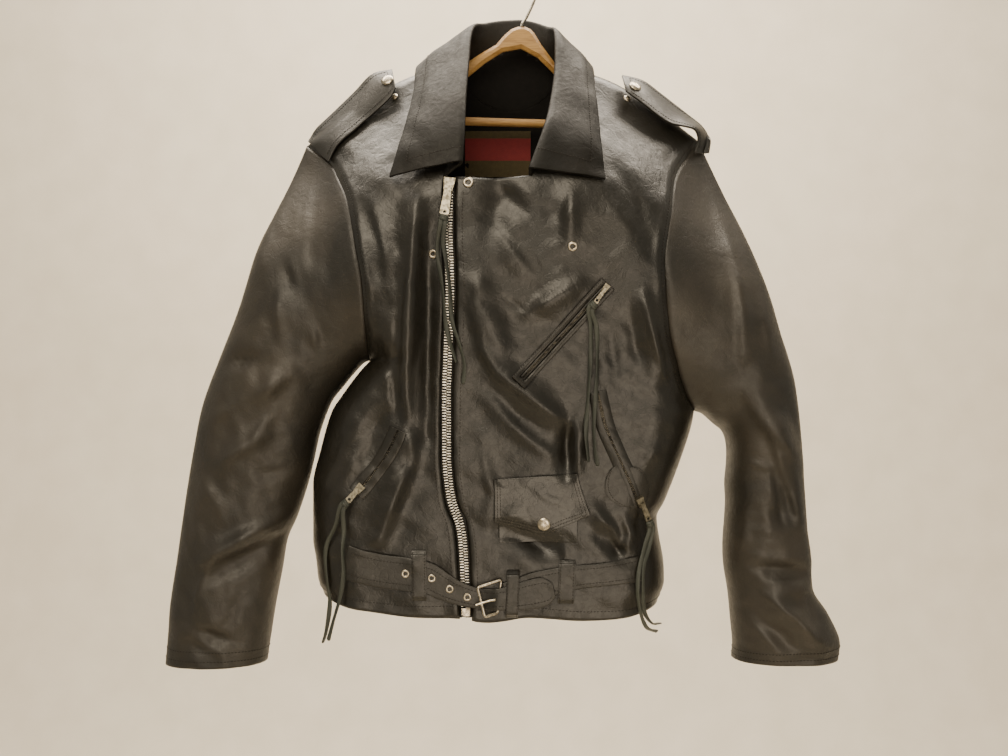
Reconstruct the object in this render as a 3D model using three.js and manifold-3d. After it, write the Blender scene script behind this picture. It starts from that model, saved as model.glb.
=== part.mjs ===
// Faux leather biker jacket hanging on a wooden hanger.
// Millimetres, +Z up. The jacket's front faces -Y and the wearer's left is +X.
// The origin is the inner crown of the hanger's hook, where it sits on its rail or pin.
import * as THREE from 'three';
import { mergeVertices } from 'three/addons/utils/BufferGeometryUtils.js';
import Module from 'manifold-3d';

// ---------------------------------------------------------------- driving sizes
const LEATHER = 2;            // wall of body and sleeves
const COLLAR_WALL = 3;        // two plies of leather and a stiffener
const SEAM = 0.3;             // half of it lies on each side of a seam
const ARMHOLE_GAP = 0.8;      // sleeve to body, measured along the wall
const ARMPIT_GAP = 1.8;       // the same where the seam turns sharply under the arm
const LAID = 0.9;             // gap under whatever lies on a panel
const CHAIN_WIDTH = 10;       // number ten zip
const ZIP_EDGE = 6.5;         // panel edge to the zip's centre line
const RIDGE = 14;             // rounding over the hanger's arms
const ARM_THICKNESS = 11;     // hanger arm, front to back
const HOOK_RADIUS = 19;       // inner radius of the hook
const HOOK_WIRE = 3.5;
const BAR = 10;               // trouser bar
const THONG = 4;              // leather thongs on the zip tabs

const SIDE_ROWS = 12;         // panel rows from hem to armpit
const ARM_ROWS = 10;          // panel rows from armpit to shoulder tip
const ROWS = SIDE_ROWS + ARM_ROWS;
const ZIP_ROWS = 15;          // panel rows from hem to the top of the zip
const SLEEVE_RINGS = 24;

// ---------------------------------------------------------------- tables
// Shoulder line, over the top of the hanger's arms.
const SHOULDER = [
  { x: -256, z: -214 }, { x: -215, z: -181 }, { x: -180, z: -154 }, { x: -149, z: -137 },
  { x: -120, z: -125 }, { x: -78, z: -113 }, { x: -20, z: -106 }, { x: 52, z: -113 },
  { x: 83, z: -125.5 }, { x: 119, z: -141 }, { x: 165, z: -171 }, { x: 212, z: -208 },
];
// Armhole seams: x of the seam, and how far the rounded side would lie beyond it.
const ARMHOLE = {
  right: [
    { z: -214, x: -256, beyond: 2 }, { z: -242, x: -222, beyond: 24 },
    { z: -263, x: -210, beyond: 36 }, { z: -290, x: -197, beyond: 44 },
    { z: -319, x: -189, beyond: 48 }, { z: -354, x: -182, beyond: 48 },
    { z: -380, x: -177, beyond: 46 }, { z: -420, x: -175, beyond: 34 },
    { z: -450, x: -174.5, beyond: 17 }, { z: -470, x: -176, beyond: 0 },
  ],
  left: [
    { z: -208, x: 212, beyond: 2 }, { z: -222, x: 201, beyond: 12 },
    { z: -258, x: 177, beyond: 34 }, { z: -306, x: 166, beyond: 46 },
    { z: -353, x: 157, beyond: 48 }, { z: -387, x: 157, beyond: 46 },
    { z: -442, x: 163, beyond: 36 }, { z: -471, x: 171, beyond: 26 },
    { z: -496, x: 179.5, beyond: 16 }, { z: -517, x: 190, beyond: 8 },
    { z: -529, x: 201, beyond: 0 },
  ],
};
// Side seams from the armpit down to the hem.
const SIDE = {
  right: [
    { z: -470, x: -176 }, { z: -484, x: -189 }, { z: -511, x: -209 }, { z: -530, x: -221 },
    { z: -575, x: -234 }, { z: -615, x: -242.5 }, { z: -677, x: -242.5 }, { z: -700, x: -239 },
    { z: -725, x: -236 }, { z: -738, x: -230 },
  ],
  left: [
    { z: -529, x: 201 }, { z: -545, x: 198 }, { z: -565, x: 192 }, { z: -603, x: 178.5 },
    { z: -634, x: 166 }, { z: -652, x: 157.5 }, { z: -673, x: 160 }, { z: -701, x: 165 },
    { z: -725, x: 166 }, { z: -748, x: 158 },
  ],
};
// Depth of the body: side seam, full front and full back, by height.
const DEPTH = [
  { z: -100, mid: 0, front: -70, back: 24 }, { z: -180, mid: -3, front: -100, back: 27 },
  { z: -270, mid: -12, front: -130, back: 28 }, { z: -340, mid: -20, front: -132, back: 28 },
  { z: -430, mid: -28, front: -126, back: 28 }, { z: -550, mid: -36, front: -118, back: 27 },
  { z: -650, mid: -38, front: -113, back: 26 }, { z: -770, mid: -38, front: -111, back: 24 },
];
const FRONT_HEM = [
  { x: -232, z: -738 }, { x: -205, z: -745 }, { x: -177, z: -750 }, { x: -123, z: -757 },
  { x: -68, z: -759 }, { x: -40, z: -763 }, { x: 8, z: -758 }, { x: 71, z: -761 },
  { x: 117, z: -758 }, { x: 140, z: -753 }, { x: 160, z: -748 },
];
// Centre line of the main zip.
const ZIP_LINE = [
  { z: -772, x: -62.5 }, { z: -750, x: -63 }, { z: -700, x: -64.6 }, { z: -673, x: -66.3 },
  { z: -651, x: -69.6 }, { z: -634, x: -77 }, { z: -612, x: -81.2 }, { z: -576, x: -84 },
  { z: -515, x: -84 }, { z: -454, x: -81.8 }, { z: -388, x: -79.7 }, { z: -324, x: -81.7 },
  { z: -272, x: -80.2 },
];
const ZIP_TOP = -270;
// Necklines, from the zip's top corner to the neck point at the shoulder.
const NECKLINE = {
  right: [[-86.7, -270], [-82, -252], [-77, -215], [-76, -170], [-78, -135], [-79, -114]],
  left: [[8, -269], [20, -246], [34, -205], [46, -160], [52, -127], [53, -114]],
};
const FREE_TOP_EDGE = [[-73.7, -270], [-34, -272], [8, -269]];
const FREE_ROWS = { right: 0, left: 2 };  // rows along that edge, which carries no collar
const BACK_NECK = [
  { x: -79, z: -114 }, { x: -66, z: -136 }, { x: -45, z: -156 }, { x: -14, z: -166 },
  { x: 18, z: -158 }, { x: 40, z: -138 }, { x: 53, z: -114 },
];
// Large folds of the fronts: a soft ridge (lift > 0) or trough between two points.
const FRONT_FOLDS = [
  { x0: -120, z0: -300, x1: -126, z1: -560, width: 13, lift: 9 },
  { x0: -103, z0: -330, x1: -108, z1: -560, width: 9, lift: -6 },
  { x0: -128, z0: -566, x1: -160, z1: -668, width: 13, lift: 8 },
  { x0: -150, z0: -520, x1: -185, z1: -600, width: 18, lift: -8 },
  { x0: -50, z0: -390, x1: -18, z1: -486, width: 15, lift: 8 },
  { x0: -12, z0: -492, x1: 44, z1: -540, width: 13, lift: 8 },
  { x0: -25, z0: -280, x1: -30, z1: -330, width: 16, lift: -8 },
  { x0: 54, z0: -300, x1: 50, z1: -340, width: 10, lift: 6 },
  { x0: 10, z0: -420, x1: 62, z1: -392, width: 14, lift: 6 },
  { x0: 50, z0: -540, x1: 50, z1: -596, width: 10, lift: -8 },
  { x0: 61, z0: -540, x1: 60, z1: -600, width: 8, lift: 5 },
  { x0: 132, z0: -405, x1: 152, z1: -490, width: 12, lift: 7 },
  { x0: -20, z0: -660, x1: 40, z1: -682, width: 14, lift: -7 },
  { x0: 88, z0: -650, x1: 112, z1: -690, width: 14, lift: -7 },
  { x0: 80, z0: -640, x1: 100, z1: -668, width: 9, lift: 6 },
];
const BACK_FOLDS = [
  { x0: -150, z0: -250, x1: -120, z1: -420, width: 16, lift: -5 },
  { x0: 110, z0: -260, x1: 90, z1: -450, width: 15, lift: -6 },
  { x0: -60, z0: -520, x1: -130, z1: -640, width: 18, lift: 5 },
  { x0: 40, z0: -560, x1: 110, z1: -660, width: 17, lift: 5 },
];
// Sleeve sections from the armhole to the cuff: outer edge, inner edge, front and back faces.
const SLEEVE = {
  right: [
    { ox: -273, oz: -256, ix: -186, iz: -474, front: -92, back: 14 },
    { ox: -292, oz: -301, ix: -197, iz: -486, front: -100, back: 13 },
    { ox: -309, oz: -345, ix: -208, iz: -500, front: -104, back: 12 },
    { ox: -329, oz: -410, ix: -223, iz: -520, front: -100, back: 10 },
    { ox: -355, oz: -476, ix: -236, iz: -554, front: -96, back: 9 },
    { ox: -372, oz: -522, ix: -243, iz: -585, front: -92, back: 8 },
    { ox: -383, oz: -574, ix: -251, iz: -616, front: -88, back: 8 },
    { ox: -392, oz: -628, ix: -263, iz: -652, front: -86, back: 8 },
    { ox: -398, oz: -668, ix: -275, iz: -680, front: -84, back: 8 },
    { ox: -404, oz: -708, ix: -281, iz: -714, front: -82, back: 8 },
    { ox: -411, oz: -752, ix: -289, iz: -756, front: -80, back: 7 },
    { ox: -414, oz: -792, ix: -295, iz: -794, front: -78, back: 6 },
    { ox: -417, oz: -824, ix: -299, iz: -822, front: -76, back: 5 },
  ],
  left: [
    { ox: 240, oz: -270, ix: 214, iz: -534, front: -96, back: 16 },
    { ox: 263, oz: -322, ix: 226, iz: -545, front: -104, back: 15 },
    { ox: 283, oz: -378, ix: 236, iz: -554, front: -104, back: 14 },
    { ox: 301, oz: -438, ix: 241, iz: -570, front: -100, back: 12 },
    { ox: 316, oz: -487, ix: 241, iz: -592, front: -98, back: 11 },
    { ox: 324, oz: -540, ix: 239, iz: -614, front: -94, back: 10 },
    { ox: 328, oz: -586, ix: 240, iz: -634, front: -90, back: 9 },
    { ox: 331, oz: -632, ix: 239, iz: -654, front: -88, back: 8 },
    { ox: 334, oz: -667, ix: 237, iz: -684, front: -86, back: 8 },
    { ox: 339, oz: -702, ix: 238, iz: -710, front: -84, back: 8 },
    { ox: 341, oz: -738, ix: 243, iz: -742, front: -84, back: 8 },
    { ox: 357, oz: -764, ix: 246, iz: -776, front: -88, back: 8 },
    { ox: 371, oz: -794, ix: 248, iz: -800, front: -88, back: 7 },
    { ox: 370, oz: -818, ix: 247, iz: -818, front: -84, back: 6 },
  ],
};
const SLEEVE_FOLDS = {
  right: [
    { x0: -256, z0: -262, x1: -254, z1: -368, width: 11, lift: 6 },
    { x0: -330, z0: -472, x1: -302, z1: -470, width: 10, lift: -7 },
    { x0: -300, z0: -512, x1: -266, z1: -484, width: 12, lift: 7 },
    { x0: -345, z0: -590, x1: -292, z1: -555, width: 12, lift: 7 },
    { x0: -358, z0: -700, x1: -272, z1: -658, width: 12, lift: 9 },
    { x0: -352, z0: -716, x1: -275, z1: -676, width: 12, lift: -9 },
    { x0: -382, z0: -765, x1: -386, z1: -700, width: 11, lift: -5 },
    { x0: -380, z0: -795, x1: -335, z1: -790, width: 13, lift: -5 },
  ],
  left: [
    { x0: 225, z0: -250, x1: 253, z1: -460, width: 11, lift: 8 },
    { x0: 204, z0: -300, x1: 212, z1: -420, width: 14, lift: -6 },
    { x0: 260, z0: -514, x1: 322, z1: -586, width: 12, lift: 8 },
    { x0: 286, z0: -545, x1: 326, z1: -655, width: 12, lift: 7 },
    { x0: 295, z0: -597, x1: 310, z1: -668, width: 10, lift: -7 },
    { x0: 285, z0: -716, x1: 340, z1: -716, width: 9, lift: -8 },
    { x0: 288, z0: -731, x1: 336, z1: -731, width: 9, lift: 6 },
    { x0: 285, z0: -746, x1: 345, z1: -796, width: 12, lift: 9 },
    { x0: 262, z0: -760, x1: 320, z1: -806, width: 12, lift: -5 },
  ],
};
// Collar stations from the right front's end round the back to the left front's end:
// the roll line over which it turns, and its free edge.
const COLLAR = [
  { at: 0.00, rx: -67, ry: -136, rz: -257, ex: -146, ey: -124, ez: -270 },
  { at: 0.08, rx: -65, ry: -126, rz: -222, ex: -138, ey: -116, ez: -240 },
  { at: 0.16, rx: -64, ry: -101, rz: -180, ex: -129, ey: -90, ez: -198 },
  { at: 0.24, rx: -62, ry: -60, rz: -130, ex: -124, ey: -58, ez: -160 },
  { at: 0.33, rx: -58, ry: -14, rz: -79, ex: -121, ey: -8, ez: -120 },
  { at: 0.41, rx: -42, ry: 17, rz: -62, ex: -96, ey: 42, ez: -130 },
  { at: 0.50, rx: -3, ry: 25, rz: -56, ex: -8, ey: 44, ez: -134 },
  { at: 0.59, rx: 31, ry: 17, rz: -66, ex: 64, ey: 42, ez: -132 },
  { at: 0.67, rx: 41, ry: -12, rz: -84, ex: 84, ey: -8, ez: -121 },
  { at: 0.76, rx: 39, ry: -52, rz: -138, ex: 84, ey: -60, ez: -160 },
  { at: 0.84, rx: 32, ry: -90, rz: -186, ex: 86, ey: -86, ez: -198 },
  { at: 0.92, rx: 24, ry: -116, rz: -218, ex: 88, ey: -112, ez: -240 },
  { at: 1.00, rx: 8, ry: -136, rz: -264, ex: 91, ey: -122, ez: -272 },
];

// ---------------------------------------------------------------- finishes
const finish = (color, roughness, metalness) =>
  new THREE.MeshStandardMaterial({ color, roughness, metalness, side: THREE.DoubleSide });
const LEATHER_BLACK = finish(0x3a352f, 0.45, 0);
const THONG_BLACK = finish(0x33352f, 0.6, 0);
const NICKEL = finish(0xc9c2b2, 0.3, 1);
const TAPE_BLACK = finish(0x1b1a19, 0.9, 0);
const WOOD = finish(0xb88d4a, 0.5, 0);
const LABEL_OLIVE = finish(0x4a3f22, 0.7, 0);

// ---------------------------------------------------------------- small maths
const clamp = (value, low, high) => Math.min(high, Math.max(low, value));
const mix = (a, b, t) => a + (b - a) * t;
const smooth = (t) => t * t * (3 - 2 * t);
const arch = (q) => Math.sqrt(Math.max(0, 1 - (1 - clamp(q, 0, 1)) ** 2));

/** Smooth lookup in a table: each column as a function of the key column. */
function lookup(rows, key) {
  const sorted = [...rows].sort((a, b) => a[key] - b[key]);
  const last = sorted.length - 1;
  const slope = (i, column) => {
    const before = sorted[Math.max(i - 1, 0)];
    const after = sorted[Math.min(i + 1, last)];
    const here = sorted[i];
    const rise = (after[column] - here[column]) * (here[column] - before[column]);
    if (i > 0 && i < last && rise <= 0) return 0;
    return (after[column] - before[column]) / (after[key] - before[key]);
  };
  return (at, column) => {
    const value = clamp(at, sorted[0][key], sorted[last][key]);
    let i = 0;
    while (i < last - 1 && sorted[i + 1][key] < value) i += 1;
    const span = sorted[i + 1][key] - sorted[i][key];
    const t = (value - sorted[i][key]) / span;
    const a = sorted[i][column];
    const b = sorted[i + 1][column];
    const h = smooth(t);
    return mix(a, b, h) + span * (t * (1 - t) * ((1 - t) * slope(i, column) - t * slope(i + 1, column)));
  };
}

const shoulderAt = lookup(SHOULDER, 'x');
const depthAt = lookup(DEPTH, 'z');
const hemAt = lookup(FRONT_HEM, 'x');
const zipAt = lookup(ZIP_LINE, 'z');
const backNeckAt = lookup(BACK_NECK, 'x');
const armholeAt = { right: lookup(ARMHOLE.right, 'z'), left: lookup(ARMHOLE.left, 'z') };
const sideAt = { right: lookup(SIDE.right, 'z'), left: lookup(SIDE.left, 'z') };
const OUTWARD = { right: -1, left: 1 };

/** Edge of the rounded body, past the armhole seam above the armpit. */
function bodyEdge(side, z) {
  const armpit = SIDE[side][0].z;
  if (z <= armpit) return sideAt[side](z, 'x');
  return armholeAt[side](z, 'x') + OUTWARD[side] * armholeAt[side](z, 'beyond');
}

/** Sum of soft ridges and troughs at a point of the front or back, outward positive. */
function foldLift(folds, x, z) {
  let total = 0;
  for (const fold of folds) {
    const dx = fold.x1 - fold.x0;
    const dz = fold.z1 - fold.z0;
    const along = ((x - fold.x0) * dx + (z - fold.z0) * dz) / (dx * dx + dz * dz);
    const t = clamp(along, 0, 1);
    const away = Math.hypot(x - fold.x0 - t * dx, z - fold.z0 - t * dz);
    const taper = 0.45 + 0.55 * Math.sin(Math.PI * t);
    total += fold.lift * taper * Math.exp(-((away / fold.width) ** 2));
  }
  return total;
}

/** Share of the full depth reached at a point: nothing at the shoulder line and the sides. */
function fullness(x, z, depth, slopeHeight, sideRound) {
  const below = Math.max(0, shoulderAt(x, 'z') - z);
  const ridge = Math.min(1, RIDGE / depth);
  const slope = Math.sin((Math.PI / 2) * clamp(below / slopeHeight, 0, 1));
  const top = ridge * arch(below / RIDGE) + (1 - ridge) * slope;
  const inside = Math.min(x - bodyEdge('right', z), bodyEdge('left', z) - x);
  return top * arch(inside / sideRound);
}

const FRONT_SLOPE = 170;
const FLAT_SHOULDER = 110;    // the front falls more steeply toward the shoulder tips
const HALF_SHOULDER = 220;
const BACK_SLOPE = 80;
const FRONT_ROUND = 58;
const BACK_ROUND = 45;

/** y of the front's outer surface at (x, z). */
function frontY(x, z) {
  const mid = depthAt(z, 'mid');
  const depth = mid - depthAt(z, 'front');
  const slope = FRONT_SLOPE + FLAT_SHOULDER * ((x + 15) / HALF_SHOULDER) ** 2;
  const full = fullness(x, z, depth, slope, FRONT_ROUND);
  return mid - SEAM / 2 - full * (depth + foldLift(FRONT_FOLDS, x, z));
}

/** y of the back's outer surface at (x, z). */
function backY(x, z) {
  const mid = depthAt(z, 'mid');
  const depth = depthAt(z, 'back') - mid;
  const full = fullness(x, z, depth, BACK_SLOPE, BACK_ROUND);
  return mid + SEAM / 2 + full * (depth + foldLift(BACK_FOLDS, x, z));
}

// ---------------------------------------------------------------- solids from grids
/** Unit normals of a grid of points, by differences to its neighbours. */
function gridNormals(points, wraps) {
  const columns = points.length;
  const rows = points[0].length;
  return points.map((column, i) => column.map((_, j) => {
    const before = wraps ? points[(i + columns - 1) % columns][j] : points[Math.max(i - 1, 0)][j];
    const after = wraps ? points[(i + 1) % columns][j] : points[Math.min(i + 1, columns - 1)][j];
    const below = points[i][Math.max(j - 1, 0)];
    const above = points[i][Math.min(j + 1, rows - 1)];
    const across = after.clone().sub(before);
    const along = above.clone().sub(below);
    return across.cross(along).normalize();
  }));
}

/** Closed solid between two grids of the same size; a wrapping grid makes a tube wall. */
function between(outer, inner, wraps) {
  const columns = outer.length;
  const rows = outer[0].length;
  const positions = [...outer.flat(), ...inner.flat()].flatMap((p) => [p.x, p.y, p.z]);
  const size = columns * rows;
  const at = (i, j) => (i % columns) * rows + j;
  const faces = [];
  const quad = (a, b, c, d) => faces.push(a, b, c, a, c, d);
  const steps = wraps ? columns : columns - 1;
  for (let i = 0; i < steps; i += 1) {
    for (let j = 0; j < rows - 1; j += 1) {
      quad(at(i, j), at(i + 1, j), at(i + 1, j + 1), at(i, j + 1));
      quad(size + at(i, j), size + at(i, j + 1), size + at(i + 1, j + 1), size + at(i + 1, j));
    }
    quad(at(i + 1, 0), at(i, 0), size + at(i, 0), size + at(i + 1, 0));
    quad(at(i, rows - 1), at(i + 1, rows - 1), size + at(i + 1, rows - 1), size + at(i, rows - 1));
  }
  if (!wraps) {
    for (let j = 0; j < rows - 1; j += 1) {
      const end = at(columns - 1, j);
      quad(at(0, j), at(0, j + 1), size + at(0, j + 1), size + at(0, j));
      quad(end + 1, end, size + end, size + end + 1);
    }
  }
  return facingOut(positions, faces);
}

/** Indexed geometry with its faces turned outward. */
function facingOut(positions, faces) {
  let volume = 0;
  const corner = (k) => new THREE.Vector3().fromArray(positions, 3 * k);
  for (let f = 0; f < faces.length; f += 3) {
    volume += corner(faces[f]).dot(corner(faces[f + 1]).cross(corner(faces[f + 2])));
  }
  const geometry = new THREE.BufferGeometry();
  geometry.setAttribute('position', new THREE.Float32BufferAttribute(positions, 3));
  geometry.setIndex(volume > 0 ? faces : faces.toReversed());
  geometry.computeVertexNormals();
  return geometry;
}

/** Points moved along their normals. */
const moved = (points, normals, distance) => points.map((column, i) =>
  column.map((p, j) => p.clone().addScaledVector(normals[i][j], distance)));

const group = new THREE.Group();
/** Adds one named piece. */
function add(name, geometry, material, position, quaternion) {
  const mesh = new THREE.Mesh(geometry, material);
  mesh.name = name;
  if (position) mesh.position.copy(position);
  if (quaternion) mesh.quaternion.copy(quaternion);
  group.add(mesh);
  return mesh;
}

// ---------------------------------------------------------------- body panels
const flat = (pairs) => new THREE.CatmullRomCurve3(
  pairs.map(([x, z]) => new THREE.Vector3(x, 0, z)), false, 'centripetal');

/** Side border of a panel, row by row: side seam to the armpit, then the armhole. */
function sideBorder(side, row) {
  const armpit = SIDE[side][0];
  if (row < SIDE_ROWS) {
    const hem = SIDE[side].at(-1).z;
    const z = mix(hem, armpit.z, row / SIDE_ROWS);
    return new THREE.Vector3(sideAt[side](z, 'x'), 0, z);
  }
  const seam = flat(ARMHOLE[side].toReversed().map((p) => [p.x, p.z]));
  const even = (row - SIDE_ROWS) / ARM_ROWS;
  return seam.getPointAt(mix(even, 0.5 - 0.5 * Math.cos(Math.PI * even), 0.85));
}

/** Front border of a front panel: along the zip, then round the neckline. */
function zipBorder(side, row, zipRows) {
  if (row <= zipRows) {
    const z = mix(hemAt(-63 + OUTWARD[side] * ZIP_EDGE, 'z'), ZIP_TOP, row / zipRows);
    return new THREE.Vector3(zipAt(z, 'x') + OUTWARD[side] * ZIP_EDGE, 0, z);
  }
  const free = FREE_ROWS[side];
  if (row <= zipRows + free) return flat(FREE_TOP_EDGE).getPointAt((row - zipRows) / free);
  return flat(NECKLINE[side]).getPointAt((row - zipRows - free) / (ROWS - zipRows - free));
}

const ROW_BEND = 1.45;        // rows leave the side level and rise toward the zip

/** Columns of a panel crowd toward its rounded side. */
const crowded = (count, power) => Array.from({ length: count + 1 }, (_, i) => (i / count) ** power);

/** Outer points of a front panel; column 0 is its side border. */
function frontPoints(side, columns, zipRows) {
  const shares = crowded(columns, 1.55);
  const place = (row, share) => {
    const outer = sideBorder(side, row);
    const inner = zipBorder(side, row, zipRows);
    return { x: mix(outer.x, inner.x, share), z: mix(outer.z, inner.z, share ** ROW_BEND) };
  };
  return shares.map((share) => Array.from({ length: ROWS + 1 }, (_, row) => {
    const t = row / ROWS;
    const { x, z: level } = place(row, share);
    const low = place(0, share);
    const high = place(ROWS, share);
    const toHem = (hemAt(low.x, 'z') - low.z) * (1 - t) ** 4;
    const toShoulder = (shoulderAt(high.x, 'z') - high.z) * t ** 4;
    const z = level + toHem + toShoulder;
    return new THREE.Vector3(x, frontY(x, z), z);
  }));
}

/** Wall normals of a panel, square to the seams where front and back meet. */
function panelNormals(points, outwardY) {
  const normals = gridNormals(points, false);
  const sign = normals[Math.floor(points.length / 2)][4].y * outwardY < 0 ? -1 : 1;
  normals.forEach((column, i) => column.forEach((n, j) => {
    n.multiplyScalar(sign);
    const sideSeam = (i === 0 || (points.isBack && i === points.length - 1)) && j <= SIDE_ROWS;
    if (sideSeam) n.set(OUTWARD[points[i][j].x < -15 ? 'right' : 'left'], 0, 0);
  }));
  return normals;
}

/** Shoulder seam rows keep their cut in the plane of the seam. */
function squareShoulder(normals, columns) {
  for (const i of columns) {
    const n = normals[i][ROWS];
    n.y = 0;
    n.normalize();
  }
}

const frontRight = frontPoints('right', 11, ZIP_ROWS);
const frontLeft = frontPoints('left', 15, ZIP_ROWS);
const frontRightNormals = panelNormals(frontRight, -1);
const frontLeftNormals = panelNormals(frontLeft, -1);
squareShoulder(frontRightNormals, frontRight.keys());
squareShoulder(frontLeftNormals, frontLeft.keys());

/** Outer points of the back: shoulder, neck and shoulder along its top row. */
function backPoints(columns) {
  const points = [];
  const tips = [sideBorder('right', ROWS).x, sideBorder('left', ROWS).x];
  const shares = Array.from({ length: columns + 1 }, (_, i) => {
    const swing = Math.cos((Math.PI * i) / columns);
    return 0.5 - 0.5 * swing * (0.55 + 0.45 * Math.abs(swing));
  });
  for (const neck of [BACK_NECK[0].x, BACK_NECK.at(-1).x]) {
    const share = (neck - tips[0]) / (tips[1] - tips[0]);
    const miss = shares.map((s) => Math.abs(s - share));
    shares[miss.indexOf(Math.min(...miss))] = share;
  }
  for (const share of shares) {
    points.push(Array.from({ length: ROWS + 1 }, (_, row) => {
      const t = row / ROWS;
      const right = sideBorder('right', row);
      const left = sideBorder('left', row);
      const x = mix(right.x, left.x, share);
      const high = sideBorder('right', ROWS).lerp(sideBorder('left', ROWS), share);
      const onNeck = high.x > BACK_NECK[0].x + 0.1 && high.x < BACK_NECK.at(-1).x - 0.1;
      const top = onNeck ? backNeckAt(high.x, 'z') : shoulderAt(high.x, 'z');
      const z = mix(right.z, left.z, share) + (top - high.z) * t ** 3;
      return new THREE.Vector3(x, backY(x, z), z);
    }));
  }
  points.isBack = true;
  return points;
}
const BACK_COLUMNS = 20;
const back = backPoints(BACK_COLUMNS);
const backNormals = panelNormals(back, 1);
const onShoulder = [...back.keys()].filter((i) =>
  back[i][ROWS].x < BACK_NECK[0].x + 1 || back[i][ROWS].x > BACK_NECK.at(-1).x - 1);
squareShoulder(backNormals, onShoulder);

add('front_right', between(frontRight, moved(frontRight, frontRightNormals, -LEATHER), false), LEATHER_BLACK);
add('front_left', between(frontLeft, moved(frontLeft, frontLeftNormals, -LEATHER), false), LEATHER_BLACK);
add('back', between(back, moved(back, backNormals, -LEATHER), false), LEATHER_BLACK);

// ---------------------------------------------------------------- sleeves
/** Unit vector in a panel's surface, square to its border and pointing off the panel. */
function offPanel(before, after, normal, point, within) {
  const away = after.clone().sub(before).cross(normal).normalize();
  return away.multiplyScalar(Math.sign(away.dot(point.clone().sub(within))) || 1);
}

/** Armhole border as the sleeve's first ring: down the front and up the back. */
function armholeLoop(side) {
  const front = side === 'right' ? frontRight : frontLeft;
  const frontN = side === 'right' ? frontRightNormals : frontLeftNormals;
  const edge = side === 'right' ? 0 : BACK_COLUMNS;
  const next = side === 'right' ? 1 : BACK_COLUMNS - 1;
  const loop = [];
  for (let row = ROWS; row >= SIDE_ROWS; row -= 1) {
    loop.push({ point: front[0][row], within: front[1][row], normal: frontN[0][row] });
  }
  for (let row = SIDE_ROWS + 1; row < ROWS; row += 1) {
    loop.push({ point: back[edge][row], within: back[next][row], normal: backNormals[edge][row] });
  }
  return loop.map(({ point, within, normal }, k) => {
    const before = loop[(k + loop.length - 1) % loop.length].point;
    const after = loop[(k + 1) % loop.length].point;
    const away = offPanel(before, after, normal, point, within);
    const gap = Math.abs(k - ARM_ROWS) > 1 ? ARMHOLE_GAP : ARMPIT_GAP;
    if (k !== ARM_ROWS) return { point: point.clone().addScaledVector(away, gap), normal };
    // Under the arm the sleeve leaves sideways and its wall turns to face down.
    away.set(OUTWARD[side], 0, 0);
    return { point: point.clone().addScaledVector(away, ARMPIT_GAP), normal: new THREE.Vector3(0, 0, -1) };
  });
}

/** Section table of a sleeve as smooth paths, starting with the armhole itself. */
function sleeveSections(side) {
  const tip = ARMHOLE[side][0];
  const armpit = ARMHOLE[side].at(-1);
  const first = { ox: tip.x, oz: tip.z, ix: armpit.x, iz: armpit.z, front: -80, back: 14 };
  const rows = [first, ...SLEEVE[side]];
  const path = (pick) => new THREE.CatmullRomCurve3(rows.map(pick), false, 'catmullrom', 0.5);
  return {
    outer: path((r) => new THREE.Vector3(r.ox, 0, r.oz)),
    inner: path((r) => new THREE.Vector3(r.ix, 0, r.iz)),
    faces: path((r) => new THREE.Vector3(r.front, 0, r.back)),
  };
}

const SLEEVE_BLEND = 6;       // rings over which the armhole's shape dies away
const SLEEVE_MID = 0.6;       // side of the sleeve, from its front face to its back

/** Outer points of a sleeve: columns run round it, rows from armhole to cuff. */
function sleevePoints(side, loop) {
  const sections = sleeveSections(side);
  const start = { o: sections.outer.getPoint(0), i: sections.inner.getPoint(0) };
  const chord0 = start.i.clone().sub(start.o);
  const across0 = new THREE.Vector3(-chord0.z, 0, chord0.x).normalize();
  return loop.map(({ point }, k) => Array.from({ length: SLEEVE_RINGS + 1 }, (_, ring) => {
    if (ring === 0) return point.clone();
    const t = ring / SLEEVE_RINGS;
    const outer = sections.outer.getPoint(t);
    const inner = sections.inner.getPoint(t);
    const { x: front, z: behind } = sections.faces.getPoint(t);
    const angle = (Math.PI * k) / ARM_ROWS;
    const chord = inner.clone().sub(outer);
    const across = new THREE.Vector3(-chord.z, 0, chord.x).normalize();
    const section = outer.clone().addScaledVector(chord, (1 - Math.cos(angle)) / 2);
    const middle = mix(front, behind, SLEEVE_MID);
    const swell = Math.abs(Math.sin(angle)) ** 0.85;
    section.y = mix(middle, angle < Math.PI ? front : behind, swell);
    const from = point.clone().sub(start.o);
    from.y = 0;
    const carried = outer.clone()
      .addScaledVector(chord, from.dot(chord0) / chord0.lengthSq())
      .addScaledVector(across, from.dot(across0));
    carried.y = point.y;
    const blend = 1 - smooth(clamp(ring / SLEEVE_BLEND, 0, 1));
    const place = section.lerp(carried, blend);
    const lift = foldLift(SLEEVE_FOLDS[side], place.x, place.z) * swell;
    place.y += (angle < Math.PI ? -lift : lift * 0.4) * (1 - blend);
    return place;
  }));
}

for (const side of ['right', 'left']) {
  const loop = armholeLoop(side);
  const outer = sleevePoints(side, loop);
  const normals = gridNormals(outer, true);
  const facing = Math.sign(normals[ARM_ROWS / 2][10].y) * -1;
  normals.forEach((column, k) => column.forEach((n, ring) => {
    n.multiplyScalar(facing);
    if (ring === 0) n.copy(loop[k].normal);
  }));
  add(`sleeve_${side}`, between(outer, moved(outer, normals, -LEATHER), true), LEATHER_BLACK);
}

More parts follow.
